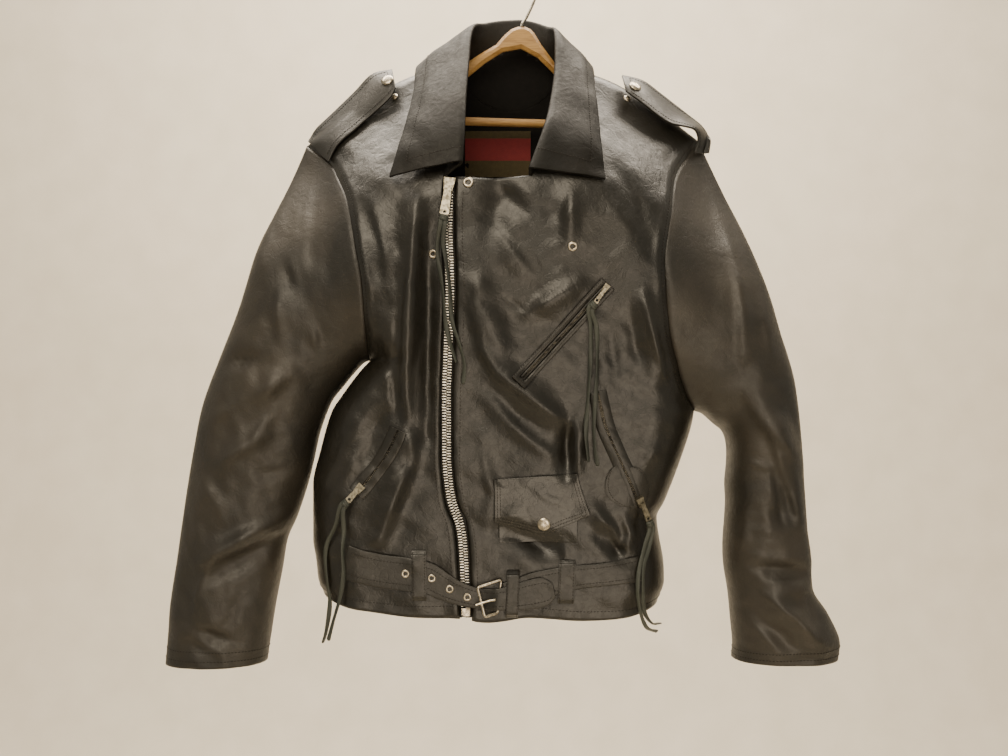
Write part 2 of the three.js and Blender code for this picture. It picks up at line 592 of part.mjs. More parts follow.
// ---------------------------------------------------------------- collar
/** Seam stations of the collar, round the neck from the right front to the left. */
function neckSeam() {
  const onFront = (grid, normals, row, at) => {
    const border = grid.at(-1);
    const point = border[row];
    const normal = normals.at(-1)[row];
    const after = border[Math.min(row + 1, ROWS)];
    const away = offPanel(border[row - 1], after, normal, point, grid.at(-2)[row]);
    return { point: point.clone().addScaledVector(away, COLLAR_GAP), normal, at, front: true };
  };
  const stations = [];
  const rightRows = ROWS - ZIP_ROWS;
  for (let k = 0; k <= rightRows; k += 1) {
    stations.push(onFront(frontRight, frontRightNormals, ZIP_ROWS + k, (0.33 * k) / rightRows));
  }
  const behind = [...back.keys()].filter((i) =>
    back[i][ROWS].x > BACK_NECK[0].x + 1 && back[i][ROWS].x < BACK_NECK.at(-1).x - 1);
  behind.forEach((i, k) => {
    const point = back[i][ROWS];
    const away = point.clone().sub(back[i][ROWS - 1]).normalize();
    const at = 0.33 + (0.34 * (k + 1)) / (behind.length + 1);
    const normal = backNormals[i][ROWS];
    stations.push({ point: point.clone().addScaledVector(away, COLLAR_GAP), normal, at });
  });
  const leftRows = ROWS - ZIP_ROWS - FREE_ROWS.left;
  for (let k = leftRows; k >= 0; k -= 1) {
    const at = 0.67 + (0.33 * (leftRows - k)) / leftRows;
    stations.push(onFront(frontLeft, frontLeftNormals, ZIP_ROWS + FREE_ROWS.left + k, at));
  }
  return stations;
}

const collarAt = lookup(COLLAR, 'at');
const LEAF_CLEAR = 4;         // mid-wall of the leaf above the panel it lies on
const COLLAR_GAP = 1.0;       // collar to body, measured along the wall
const STAND_LIFT = 1;         // the stand leans out over the seam
const FOLD_OPEN = 6.5;        // between the stand and the leaf at the roll

/** Keeps a point of the leaf outside the body. */
function clearOfBody(p, front) {
  if (p.z > shoulderAt(p.x, 'z') - 1) return p;
  if (front) p.y = Math.min(p.y, frontY(p.x, p.z) - LEAF_CLEAR);
  else p.y = Math.max(p.y, backY(p.x, p.z) + LEAF_CLEAR);
  return p;
}

/** Collar mid-surface: columns are stations, rows run from seam over the roll to the edge. */
function collarPoints(stations) {
  const outAt = (i) => {
    const near = [stations[Math.max(i - 1, 0)], stations[i], stations[Math.min(i + 1, stations.length - 1)]];
    return near[0].normal.clone().add(near[1].normal).add(near[2].normal).normalize();
  };
  return stations.map(({ point, normal, at, front }, i) => {
    const roll = new THREE.Vector3(collarAt(at, 'rx'), collarAt(at, 'ry'), collarAt(at, 'rz'));
    const edge = new THREE.Vector3(collarAt(at, 'ex'), collarAt(at, 'ey'), collarAt(at, 'ez'));
    const seam = point.clone().addScaledVector(normal, -LEATHER / 2);
    const out = outAt(i);
    const leaf = (share, lift) => clearOfBody(
      roll.clone().lerp(edge, share).addScaledVector(out, lift), front);
    const stand = seam.clone().lerp(roll, 0.5).addScaledVector(out, STAND_LIFT);
    return [
      seam,
      stand,
      roll.clone().lerp(seam, 0.12),
      roll.clone().addScaledVector(out, FOLD_OPEN / 2).addScaledVector(roll.clone().sub(seam).normalize(), 1),
      leaf(0.05, FOLD_OPEN),
      leaf(0.28, FOLD_OPEN - 0.5),
      leaf(0.52, FOLD_OPEN - 1),
      leaf(0.76, FOLD_OPEN - 2),
      leaf(1, 0),
    ];
  });
}

const seamStations = neckSeam();
const collarMid = collarPoints(seamStations);
const collarNormals = gridNormals(collarMid, false);
collarNormals.forEach((column, i) => {
  const n = seamStations[i].normal;
  const way = Math.sign(n.dot(column[0])) || 1;
  column[0].copy(n).multiplyScalar(way);
});
add('collar', between(
  moved(collarMid, collarNormals, COLLAR_WALL / 2),
  moved(collarMid, collarNormals, -COLLAR_WALL / 2), false), LEATHER_BLACK);

// ---------------------------------------------------------------- hanger
const EASE = 1.0;             // wood eased away from the neck seam
const ARM_DEPTH = 18;         // arm, top to bottom
const UNDER_CLOTH = 6;        // arms' crest to the inner face over it, touching at its edges
const ARM_ENDS = { right: -205, left: 184 };
const HUB_TOP = {
  right: [[-62, -111], [-44, -99.5], [-30, -91.5], [-21, -81], [-12, -73], [-4, -70]],
  left: [[5, -70], [11, -72.5], [16, -77.5], [24, -91], [30, -99], [41, -114]],
};
const HUB_UNDER = [[41, -128], [20, -107], [0, -96], [-22, -100], [-44, -114], [-62, -129]];
const BAR_ENDS = { right: [-194, -179], left: [173, -190.5] };

/** Outline of the hanger's one-piece wooden body, seen from the front. */
function hangerOutline() {
  const armTop = (x) => shoulderAt(x, 'z') - LEATHER - UNDER_CLOTH;
  const steps = 9;
  const run = (from, to) => Array.from({ length: steps + 1 }, (_, i) => mix(from, to, i / steps));
  const rightTop = run(ARM_ENDS.right, -79).map((x) => [x, armTop(x)]);
  const leftTop = run(53, ARM_ENDS.left).map((x) => [x, armTop(x)]);
  const leftUnder = run(ARM_ENDS.left - 4, 60).map((x) => [x, armTop(x) - ARM_DEPTH]);
  const rightUnder = run(-84, ARM_ENDS.right + 4).map((x) => [x, armTop(x) - ARM_DEPTH]);
  const leftEnd = [[ARM_ENDS.left + 4, armTop(ARM_ENDS.left) - ARM_DEPTH / 2]];
  const rightEnd = [[ARM_ENDS.right - 4, armTop(ARM_ENDS.right) - ARM_DEPTH / 2]];
  return [...rightTop, ...HUB_TOP.right, ...HUB_TOP.left, ...leftTop, ...leftEnd,
    ...leftUnder, ...HUB_UNDER, ...rightUnder, ...rightEnd];
}

const wasm = await Module();
wasm.setup();

/** A geometry as a solid for cutting, in the part's frame. */
function solidOf(geometry) {
  const bare = (geometry.index ? geometry.toNonIndexed() : geometry.clone());
  for (const name of Object.keys(bare.attributes)) {
    if (name !== 'position') bare.deleteAttribute(name);
  }
  const merged = mergeVertices(bare, 1e-3);
  const vertProperties = new Float32Array(merged.attributes.position.array);
  const triVerts = new Uint32Array(merged.index.array);
  return new wasm.Manifold(new wasm.Mesh({ numProp: 3, vertProperties, triVerts }));
}

/** A cut solid back as a geometry. */
function geometryOf(solid) {
  const { vertProperties, triVerts } = solid.getMesh();
  const geometry = new THREE.BufferGeometry();
  geometry.setAttribute('position', new THREE.BufferAttribute(vertProperties, 3));
  geometry.setIndex(new THREE.BufferAttribute(triVerts, 1));
  geometry.computeVertexNormals();
  return geometry;
}

/** Cylinder from one point to another. */
function rod(from, to, radius, sides) {
  const geometry = new THREE.CylinderGeometry(radius, radius, from.distanceTo(to), sides);
  const turn = new THREE.Quaternion().setFromUnitVectors(
    new THREE.Vector3(0, 1, 0), to.clone().sub(from).normalize());
  geometry.applyQuaternion(turn);
  const centre = from.clone().lerp(to, 0.5);
  return geometry.translate(centre.x, centre.y, centre.z);
}

/** Tube of round section along a smooth path. */
function tube(points, radius, steps, sides) {
  const section = new THREE.Shape(Array.from({ length: sides }, (_, k) => {
    const angle = (2 * Math.PI * k) / sides;
    return new THREE.Vector2(radius * Math.cos(angle), radius * Math.sin(angle));
  }));
  const extrudePath = new THREE.CatmullRomCurve3(points, false, 'centripetal');
  return new THREE.ExtrudeGeometry(section, { steps, extrudePath, bevelEnabled: false });
}

function addHanger() {
  const outline = new THREE.Shape(hangerOutline().map(([x, z]) => new THREE.Vector2(x, z)));
  const round = 4;
  const wood = new THREE.ExtrudeGeometry(outline, {
    depth: ARM_THICKNESS - 2 * round, bevelEnabled: true, bevelSegments: 1,
    bevelThickness: round, bevelSize: round, bevelOffset: -round, curveSegments: 1,
  });
  wood.rotateX(Math.PI / 2);
  wood.translate(0, ARM_THICKNESS / 2 - round, 0);
  const end = (side) => new THREE.Vector3(BAR_ENDS[side][0], 0, BAR_ENDS[side][1]);
  const bar = [end('right'), end('left')];
  const along = bar[1].clone().sub(bar[0]).normalize();
  const deep = [bar[0].clone().addScaledVector(along, -SEAM), bar[1].clone().addScaledVector(along, SEAM)];
  const socket = rod(deep[0], deep[1], BAR / 2 + SEAM, 16);
  // The neck seam crosses the arms' back edges, which are eased to clear the back and the collar.
  const eased = [
    solidOf(between(moved(back, backNormals, EASE), moved(back, backNormals, -LEATHER - EASE), false)),
    solidOf(between(
      moved(collarMid, collarNormals, COLLAR_WALL / 2),
      moved(collarMid, collarNormals, -COLLAR_WALL / 2), false)),
  ];
  let cut = solidOf(wood).subtract(solidOf(socket));
  const ways = [[0, 0, 0], [EASE, 0, 0], [0, EASE, 0], [0, 0, EASE]];
  for (const way of [...ways, ...ways.map((move) => move.map((step) => -step))]) {
    for (const wall of eased) cut = cut.subtract(wall.translate(way));
  }
  const whole = cut.decompose().reduce((most, piece) => (piece.volume() > most.volume() ? piece : most));
  add('hanger_body', geometryOf(whole), WOOD);
  add('hanger_bar', rod(bar[0], bar[1], BAR / 2, 16), WOOD);
  const radius = HOOK_RADIUS + HOOK_WIRE / 2;
  const loop = Array.from({ length: 13 }, (_, k) => {
    const angle = mix(-20, 205, k / 12) * (Math.PI / 180);
    return new THREE.Vector3(radius * Math.cos(angle), 0, -HOOK_RADIUS + radius * Math.sin(angle));
  });
  const shank = [[0.5, -69.6], [1.5, -66], [6.5, -58.5], [12.5, -46], [17, -35]];
  const route = [...shank.map(([x, z]) => new THREE.Vector3(x, 0, z)), ...loop];
  add('hanger_hook', tube(route, HOOK_WIRE / 2, 30, 8), NICKEL);
}
addHanger();

// ---------------------------------------------------------------- laid pieces
/** y of the built front panels' outer facets at (x, z), or of the smooth front off them. */
function facetY(x, z) {
  for (const grid of [frontRight, frontLeft]) {
    for (let i = 0; i < grid.length - 1; i += 1) {
      for (let j = 0; j < grid[0].length - 1; j += 1) {
        const [p, q, r, s] = [grid[i][j], grid[i + 1][j], grid[i + 1][j + 1], grid[i][j + 1]];
        for (const [a, b, c] of [[p, q, r], [p, r, s]]) {
          const area = (b.x - a.x) * (c.z - a.z) - (c.x - a.x) * (b.z - a.z);
          if (Math.abs(area) < 1e-6) continue;
          const u = ((x - a.x) * (c.z - a.z) - (c.x - a.x) * (z - a.z)) / area;
          const v = ((b.x - a.x) * (z - a.z) - (x - a.x) * (b.z - a.z)) / area;
          if (u >= 0 && v >= 0 && u + v <= 1) return a.y + u * (b.y - a.y) + v * (c.y - a.y);
        }
      }
    }
  }
  return frontY(x, z);
}

/** Plate made from the front's points moved out: a grid of {x, z, off} and its thickness. */
function laidPlate(grid, thickness, wraps = false) {
  const under = grid.map((column) => column.map(({ x, z, off }) =>
    new THREE.Vector3(x, facetY(x, z) - off, z)));
  const over = under.map((column) => column.map((p) => new THREE.Vector3(p.x, p.y - thickness, p.z)));
  return between(over, under, wraps);
}

/** Strip grid along a row table of centre, half-width and height off the panel. */
function stripGrid(rows, steps, across) {
  const centre = new THREE.CatmullRomCurve3(
    rows.map((r) => new THREE.Vector3(r.x, r.off ?? LAID, r.z)), false, 'centripetal');
  const half = new THREE.CatmullRomCurve3(
    rows.map((r) => new THREE.Vector3(r.half, 0, 0)), false, 'catmullrom', 0.5);
  return Array.from({ length: steps + 1 }, (_, k) => {
    const t = k / steps;
    const p = centre.getPoint(t);
    const tangent = centre.getTangent(t);
    const length = Math.hypot(tangent.x, tangent.z);
    const width = half.getPoint(t).x;
    return Array.from({ length: across + 1 }, (__, j) => {
      const w = width * ((2 * j) / across - 1);
      return { x: p.x - (w * tangent.z) / length, z: p.z + (w * tangent.x) / length, off: p.y };
    });
  });
}

const BAND = 3;               // belt leather, two plies
const PLY = 1.5;              // pocket leather
const OVER_BELT = LAID + BAND + 0.7;
const BELT_RIGHT = [
  { x: -198, z: -694, half: 18.5, off: 2.2 }, { x: -179, z: -700, half: 18.5, off: 1.3 },
  { x: -157, z: -705, half: 18.5, off: LAID }, { x: -125, z: -709, half: 18.5, off: LAID },
  { x: -104, z: -713, half: 17, off: LAID }, { x: -90, z: -721, half: 15.5, off: LAID },
  { x: -74, z: -728.5, half: 13.5, off: LAID }, { x: -58, z: -733.5, half: 12, off: LAID },
  { x: -46, z: -735.5, half: 11.5, off: LAID }, { x: -37, z: -736, half: 11.5, off: 2.4 },
  { x: -28, z: -736, half: 12, off: 4.9 }, { x: -18, z: -735, half: 13, off: OVER_BELT + 0.2 },
  { x: -4, z: -733, half: 15, off: OVER_BELT }, { x: 12, z: -730, half: 16.5, off: OVER_BELT },
  { x: 26, z: -727, half: 15.5, off: OVER_BELT }, { x: 35, z: -725, half: 8, off: OVER_BELT },
];
const BELT_LEFT = [
  { x: -20, z: -731, half: 13 }, { x: -4, z: -728, half: 15 }, { x: 16, z: -722, half: 16 },
  { x: 38, z: -716.5, half: 15 }, { x: 60, z: -712, half: 13.5 }, { x: 86, z: -709.5, half: 13 },
  { x: 112, z: -706, half: 13.5 }, { x: 132, z: -703, half: 14 },
];
// Short straps over the belt: both ends on the panel, the middle over what they hold.
const BELT_LOOPS = {
  belt_loop_right: { x: -115, low: -738, high: -682, half: 8, lean: 1, over: LAID + BAND + 0.6 },
  belt_loop_left: { x: 50, low: -741, high: -693, half: 9, lean: -2, over: LAID + BAND + 0.6 },
  belt_keeper: { x: -10, low: -757, high: -704, half: 7, lean: -2, over: OVER_BELT + BAND + 0.7 },
};
const LOOP_PROFILE = [[0, 0], [0.06, 0.55], [0.14, 1], [0.5, 1.04], [0.86, 1], [0.94, 0.55], [1, 0]];

/** Belt loop or keeper: a strap arched from the panel over the belt. */
function loopPlate({ x, low, high, half, lean, over }) {
  const grid = [-1, 0, 1].map((side) => LOOP_PROFILE.map(([share, rise]) => ({
    x: x + side * half + lean * (1 - share),
    z: mix(low, high, share),
    off: mix(LAID, over, rise),
  })));
  return laidPlate(grid, PLY);
}

/** Flat frame along a centre line: outer and inner outlines with square corners. */
function frameGrid(from, to, half, slotHalf, endBar, off) {
  const along = new THREE.Vector2(to.x - from.x, to.z - from.z);
  const length = along.length();
  along.normalize();
  const side = new THREE.Vector2(-along.y, along.x);
  const place = (s, w, extra) => ({
    x: from.x + along.x * s + side.x * w, z: from.z + along.y * s + side.y * w, off: off + extra,
  });
  const steps = 10;
  const outline = (inset, width) => {
    const run = Array.from({ length: steps + 1 }, (_, k) => mix(inset, length - inset, k / steps));
    return [...run.map((s) => [s, -width]), ...run.toReversed().map((s) => [s, width])];
  };
  const outer = outline(0, half);
  const inner = outline(endBar, slotHalf);
  return outer.map(([s, w], k) => [place(s, w, 0), place(inner[k][0], inner[k][1], 0)]);
}

/** Raised zip chain on its tape, as one strip under or on a panel. */
function chainGrid(line, half, off, steps) {
  return stripGrid(line.map((p) => ({ ...p, half, off })), steps, 2);
}

function addMainZip() {
  const stations = Array.from({ length: ZIP_ROWS + 1 }, (_, row) => {
    const hem = hemAt(-63, 'z') + 1;
    return mix(hem, ZIP_TOP - 1, row / ZIP_ROWS);
  });
  const tapeHalf = 9.5;
  const chainHalf = CHAIN_WIDTH / 2;
  const below = LEATHER + 0.9;
  const profile = [
    [-tapeHalf, below + 1], [tapeHalf, below + 1], [tapeHalf, below], [chainHalf, below],
    [chainHalf, -0.2], [-chainHalf, -0.2], [-chainHalf, below], [-tapeHalf, below],
  ];
  const grid = profile.map(([w, depth]) => stations.map((z) => {
    const x = zipAt(z, 'x') + w;
    return new THREE.Vector3(x, (Math.abs(w) > chainHalf ? facetY(x, z) : frontY(x, z)) + depth, z);
  }));
  add('zip_main', closedLoft(grid), TAPE_BLACK);
}

/** Solid swept from columns of a closed profile, its two ends capped. */
function closedLoft(grid) {
  const columns = grid.length;
  const rows = grid[0].length;
  const positions = grid.flat().flatMap((p) => [p.x, p.y, p.z]);
  const faces = [];
  for (let i = 0; i < columns; i += 1) {
    const next = (i + 1) % columns;
    for (let j = 0; j < rows - 1; j += 1) {
      const [a, b] = [i * rows + j, next * rows + j];
      faces.push(a, b, b + 1, a, b + 1, a + 1);
    }
  }
  const loop = grid.map((column) => new THREE.Vector2(column[0].x, column[0].y));
  const area = THREE.ShapeUtils.area;
  for (const corners of THREE.ShapeUtils.triangulateShape(loop, [])) {
    const along = area(corners.map((k) => loop[k])) * area(loop) > 0;
    const inOrder = along ? corners : corners.toReversed();
    faces.push(...inOrder.map((k) => k * rows + rows - 1));
    faces.push(...inOrder.toReversed().map((k) => k * rows));
  }
  return facingOut(positions, faces);
}
addMainZip();

// ---------------------------------------------------------------- hardware
/** Frame on the front's surface at (x, z): origin, outward normal and a turned basis. */
function seat(x, z, turn, off) {
  const step = 6;
  const slopeX = clamp((frontY(x + step, z) - frontY(x - step, z)) / (2 * step), -1.5, 1.5);
  const slopeZ = clamp((frontY(x, z + step) - frontY(x, z - step)) / (2 * step), -1.5, 1.5);
  const normal = new THREE.Vector3(slopeX, -1, slopeZ).normalize();
  const down = new THREE.Vector3(Math.sin(turn), 0, -Math.cos(turn));
  down.addScaledVector(normal, -down.dot(normal)).normalize();
  const across = down.clone().cross(normal);
  const basis = new THREE.Matrix4().makeBasis(across, down, normal);
  const position = new THREE.Vector3(x, facetY(x, z), z).addScaledVector(normal, off);
  return { position, quaternion: new THREE.Quaternion().setFromRotationMatrix(basis), normal };
}

/** Domed cap or ring post of a snap, its axis along local Z. */
function snapGeometry(kind, radius) {
  const profiles = {
    cap: [[0, 0], [radius, 0], [radius, 0.9], [radius * 0.8, 1.7], [0, 2.2]],
    stud: [[0, 0], [radius, 0], [radius, 1], [radius * 0.62, 1.4], [radius * 0.5, 3], [0, 3]],
    ring: [[radius * 0.45, 0], [radius, 0], [radius, 0.8], [radius * 0.75, 1.2], [radius * 0.45, 0.9],
      [radius * 0.45, 0]],
  };
  const points = profiles[kind].map(([r, h]) => new THREE.Vector2(r, h));
  return new THREE.LatheGeometry(points, 10).rotateX(Math.PI / 2);
}

const FRONT_SNAPS = {
  snap_corner: { x: -59.5, z: -277, radius: 6, kind: 'ring', off: 0.6 },
  snap_lapel_right: { x: -98, z: -355, radius: 5, kind: 'ring', off: 2 },
  snap_lapel_left: { x: 54.5, z: -347, radius: 5.5, kind: 'ring', off: 1.1 },
  eyelet_1: { x: -129.5, z: -707.5, radius: 4.7, kind: 'ring', off: LAID + BAND + 0.4 },
  eyelet_2: { x: -100.5, z: -712.5, radius: 4.7, kind: 'ring', off: LAID + BAND + 0.4 },
  eyelet_3: { x: -80.5, z: -724.5, radius: 4.7, kind: 'ring', off: LAID + BAND + 0.4 },
  eyelet_4: { x: -61, z: -733.5, radius: 4.7, kind: 'ring', off: LAID + BAND + 0.4 },
};
for (const [name, snap] of Object.entries(FRONT_SNAPS)) {
  const { position, quaternion } = seat(snap.x, snap.z, 0, snap.off);
  add(name, snapGeometry(snap.kind, snap.radius), NICKEL, position, quaternion);
}

/** Plate with rounded ends and an optional round hole, in the local XY plane. */
function roundedPlate(halfTop, halfLow, top, low, depth, hole) {
  const shape = new THREE.Shape();
  shape.moveTo(-halfTop, top);
  shape.lineTo(halfTop, top);
  shape.lineTo(halfLow, low - halfLow * 0.5);
  shape.lineTo(halfLow * 0.5, low);
  shape.lineTo(-halfLow * 0.5, low);
  shape.lineTo(-halfLow, low - halfLow * 0.5);
  shape.closePath();
  if (hole) {
    const cut = new THREE.Path();
    cut.absarc(0, hole.at, hole.radius, 0, 2 * Math.PI, true);
    shape.holes.push(cut);
  }
  return new THREE.ExtrudeGeometry(shape, { depth, bevelEnabled: false, curveSegments: 5 });
}

// Zip sliders with their pull tabs; turn is the tab's lean from straight down.
const PULLS = {
  main: { x: -80.5, z: -281, turn: -0.12, half: 6.5, length: 17, tab: 36, off: -0.2 },
  chest: { x: 90, z: -392.5, turn: -0.62, half: 3.2, length: 10, tab: 20, off: 4 },
  left: { x: 129, z: -628, turn: 0.5, half: 4.5, length: 13, tab: 24, off: 2.8 },
  right: { x: -181, z: -615, turn: -0.72, half: 4.5, length: 13, tab: 18, off: 2.8 },
};
const SLIDER_RISE = 5;
const tabEnds = {};
for (const [name, pull] of Object.entries(PULLS)) {
  const { half, length } = pull;
  const base = seat(pull.x, pull.z, pull.turn, pull.off);
  const body = roundedPlate(half, half * 0.75, -length / 2, length / 2, SLIDER_RISE, null);
  add(`slider_${name}`, body, NICKEL, base.position, base.quaternion);
  const pivot = base.position.clone().addScaledVector(base.normal, SLIDER_RISE + 0.4 + 0.8);
  const tab = roundedPlate(half * 0.55, half * 0.8, 0, pull.tab, 1.6, { at: pull.tab - 4, radius: 1.7 });
  tab.translate(0, 0, -0.8);
  const { matrix } = add(`tab_${name}`, tab, NICKEL, pivot, base.quaternion);
  matrix.compose(pivot, base.quaternion, new THREE.Vector3(1, 1, 1));
  tabEnds[name] = (across, beyond) =>
    new THREE.Vector3(across, pull.tab + beyond, 0).applyMatrix4(matrix);
}

// Box at the foot of the main zip.
const ZIP_BOX = { x: -62.6, z: -750.5, half: 4.5, length: 8.5, rise: 3.5, off: 0.6 };
const boxSeat = seat(ZIP_BOX.x, ZIP_BOX.z, 0, ZIP_BOX.off);
add('zip_box', roundedPlate(ZIP_BOX.half, ZIP_BOX.half, -ZIP_BOX.length / 2, ZIP_BOX.length / 2,
  ZIP_BOX.rise, null), NICKEL, boxSeat.position, boxSeat.quaternion);

// ---------------------------------------------------------------- pockets
const CHEST = { from: { x: 94, z: -388 }, to: { x: -4.5, z: -496 } };
const chestWelt = frameGrid(CHEST.from, CHEST.to, 9.5, 3.6, 5, LAID + 0.8);
add('chest_welt', laidPlate(chestWelt, PLY, true), LEATHER_BLACK);
const CHEST_CHAIN = [0.05, 0.35, 0.65, 0.95].map((t) => ({
  x: mix(CHEST.from.x, CHEST.to.x, t), z: mix(CHEST.from.z, CHEST.to.z, t),
}));
add('chest_zip', laidPlate(chainGrid(CHEST_CHAIN, 3, LAID + 0.3, 10), 1.2), NICKEL);

const POCKET_LEFT = [
  { x: 82.5, z: -506 }, { x: 91, z: -542 }, { x: 108, z: -582 }, { x: 119, z: -606 }, { x: 130, z: -633 },
];
add('pocket_left_zip', laidPlate(chainGrid(POCKET_LEFT, 4.5, LAID, 14), PLY), NICKEL);
const POCKET_RIGHT = [
  { x: -137, z: -548 }, { x: -149, z: -573 }, { x: -162, z: -592 }, { x: -184, z: -619 },
];
add('pocket_right_zip', laidPlate(chainGrid(POCKET_RIGHT, 4, LAID, 12), PLY), NICKEL);

/** Half-round patch beside a stretch of a pocket's zip. */
function halfMoon(line, from, to, gap, reach) {
  const path = flat(line.map((p) => [p.x, p.z]));
  const steps = 8;
  return Array.from({ length: steps + 1 }, (_, k) => {
    const share = k / steps;
    const t = mix(from, to, share);
    const p = path.getPointAt(t);
    const tangent = path.getTangentAt(t);
    const reachHere = Math.sign(reach) * (3 + (Math.abs(reach) - 3) * Math.sin(Math.PI * share) ** 0.6);
    return [0, 0.5, 1].map((w) => {
      const away = gap * Math.sign(reach) + reachHere * w;
      return { x: p.x - tangent.z * away, z: p.z + tangent.x * away, off: LAID + 0.4 };
    });
  });
}
add('pocket_left_patch_inner', laidPlate(halfMoon(POCKET_LEFT, 0.62, 0.98, 5.3, -24), PLY), LEATHER_BLACK);
add('pocket_left_patch_outer', laidPlate(halfMoon(POCKET_LEFT, 0.68, 0.98, 5.3, 15), PLY), LEATHER_BLACK);

// Coin pocket: flap edges by column, from its top edge to the pointed lower edge.
const COIN_FLAP = [
  { x: -31, top: -603, low: -651 }, { x: -12, top: -599, low: -655 }, { x: 4, top: -598, low: -659 },
  { x: 21, top: -597.5, low: -663 }, { x: 38, top: -597.5, low: -657 }, { x: 55, top: -598, low: -651 },
  { x: 66, top: -606, low: -648 }, { x: 74, top: -632, low: -645 },
];
const COIN_STACK = LAID + PLY + 0.6;
const coinBody = COIN_FLAP.slice(0, 7).map(({ x, top }) => [0, 0.25, 0.5, 0.75, 1].map((t) => ({
  x: x * 0.9 + 2, z: mix(top - 6, -674, t), off: LAID,
})));
add('coin_pocket', laidPlate(coinBody, PLY), LEATHER_BLACK);
const coinFlap = COIN_FLAP.map(({ x, top, low }) => [0, 0.25, 0.5, 0.75, 1].map((t) => ({
  x, z: mix(top, low, t), off: COIN_STACK,
})));
add('coin_flap', laidPlate(coinFlap, PLY), LEATHER_BLACK);
const coinSeat = seat(24, -652, 0, COIN_STACK + PLY + 0.5);
add('coin_cap', snapGeometry('cap', 7.5), NICKEL, coinSeat.position, coinSeat.quaternion);

// ---------------------------------------------------------------- belt
add('belt_right', laidPlate(stripGrid(BELT_RIGHT, 26, 3), BAND), LEATHER_BLACK);
add('belt_left', laidPlate(stripGrid(BELT_LEFT, 14, 3), BAND), LEATHER_BLACK);
for (const [name, strap] of Object.entries(BELT_LOOPS)) add(name, loopPlate(strap), LEATHER_BLACK);

const BUCKLE = { left: -51, right: -23, low: -754, high: -717, bar: 4, thickness: 3 };
const PRONG = [[-30, -735.5, 10.2], [-37, -737, 8.9], [-44, -739, 9.6], [-51.5, -741.5, 9.6]];
function addBuckle() {
  const { left, right, low, high, bar, thickness } = BUCKLE;
  const rise = (x) => mix(LAID + BAND + 0.5, LAID, clamp((x - left - bar) / (right - left - 2 * bar), 0, 1));
  const outline = (inset) => {
    const [l, r, b, t] = [left + inset, right - inset, low + inset, high - inset];
    const mid = (l + r) / 2;
    return [[l, b], [mid, b], [r, b], [r, (b + t) / 2], [r, t], [mid, t], [l, t], [l, (b + t) / 2]];
  };
  const base = (x, z) => ({ x, z, off: rise(x) });
  const inner = outline(bar);
  const grid = outline(0).map(([x, z], k) => [base(x, z), base(...inner[k])]);
  add('buckle_frame', laidPlate(grid, thickness, true), NICKEL);
  const prong = PRONG.map(([x, z, off]) => new THREE.Vector3(x, facetY(x, z) - off, z));
  add('buckle_prong', tube(prong, 1.5, 8, 8), NICKEL);
}
addBuckle();

// ---------------------------------------------------------------- epaulettes
// Upper and lower edge of each strap, from the armhole to its tip.
const EPAULETTES = {
  right: [
    { ux: -254, uy: -3, uz: -209, lx: -224, ly: -34, lz: -240 },
    { ux: -246, uy: -3, uz: -194, lx: -216, ly: -36, lz: -223 },
    { ux: -229, uy: -4, uz: -178, lx: -206, ly: -38, lz: -212 },
    { ux: -212, uy: -5, uz: -162, lx: -196, ly: -40, lz: -204 },
    { ux: -196, uy: -7, uz: -147, lx: -179, ly: -42, lz: -188 },
    { ux: -177, uy: -11, uz: -129, lx: -152, ly: -42, lz: -163 },
    { ux: -153, uy: -16, uz: -125, lx: -147, ly: -38, lz: -152 },
  ],
  left: [
    { ux: 224, uy: 3, uz: -223, lx: 204, ly: -28, lz: -226 },
    { ux: 226, uy: 4, uz: -205, lx: 208, ly: -30, lz: -210 },
    { ux: 218, uy: 2, uz: -190, lx: 203, ly: -36, lz: -200 },
    { ux: 203, uy: 0, uz: -178, lx: 190, ly: -40, lz: -197 },
    { ux: 186, uy: -4, uz: -166, lx: 173, ly: -46, lz: -195 },
    { ux: 165, uy: -8, uz: -151, lx: 158, ly: -48, lz: -186 },
    { ux: 144, uy: -12, uz: -137, lx: 140, ly: -46, lz: -171 },
    { ux: 119, uy: -20, uz: -133, lx: 122, ly: -42, lz: -157 },
  ],
};
const EPAULETTE_WALL = 2.6;
const EPAULETTE_CLEAR = 4.6;
for (const [side, rows] of Object.entries(EPAULETTES)) {
  const path = (pick) => new THREE.CatmullRomCurve3(rows.map(pick), false, 'centripetal');
  const upper = path((r) => new THREE.Vector3(r.ux, r.uy, r.uz));
  const lower = path((r) => new THREE.Vector3(r.lx, r.ly, r.lz));
  const steps = 12;
  const mid = Array.from({ length: steps + 1 }, (_, k) => [0, 0.25, 0.5, 0.75, 1].map((w) => {
    const p = upper.getPoint(k / steps).lerp(lower.getPoint(k / steps), w);
    p.y -= 3 * Math.sin(Math.PI * w);
    if (p.z < shoulderAt(p.x, 'z') + EPAULETTE_CLEAR) {
      p.y = Math.min(p.y, facetY(p.x, p.z) - EPAULETTE_CLEAR);
    }
    return p;
  }));
  const normals = gridNormals(mid, false);
  add(`epaulette_${side}`, between(
    moved(mid, normals, EPAULETTE_WALL / 2), moved(mid, normals, -EPAULETTE_WALL / 2), false), LEATHER_BLACK);
  const k = steps - 1;
  const facing = normals[k][2].clone().multiplyScalar(Math.sign(-normals[k][2].y));
  const turn = new THREE.Quaternion().setFromUnitVectors(new THREE.Vector3(0, 0, 1), facing);
  const capAt = mid[k][2].clone().addScaledVector(facing, EPAULETTE_WALL / 2 + 0.4);
  add(`epaulette_cap_${side}`, snapGeometry('cap', 7.5), NICKEL, capAt, turn);
}
const SHOULDER_STUDS = { right: { x: -149, z: -161, off: 0.5 }, left: { x: 124, z: -163, off: 1.6 } };
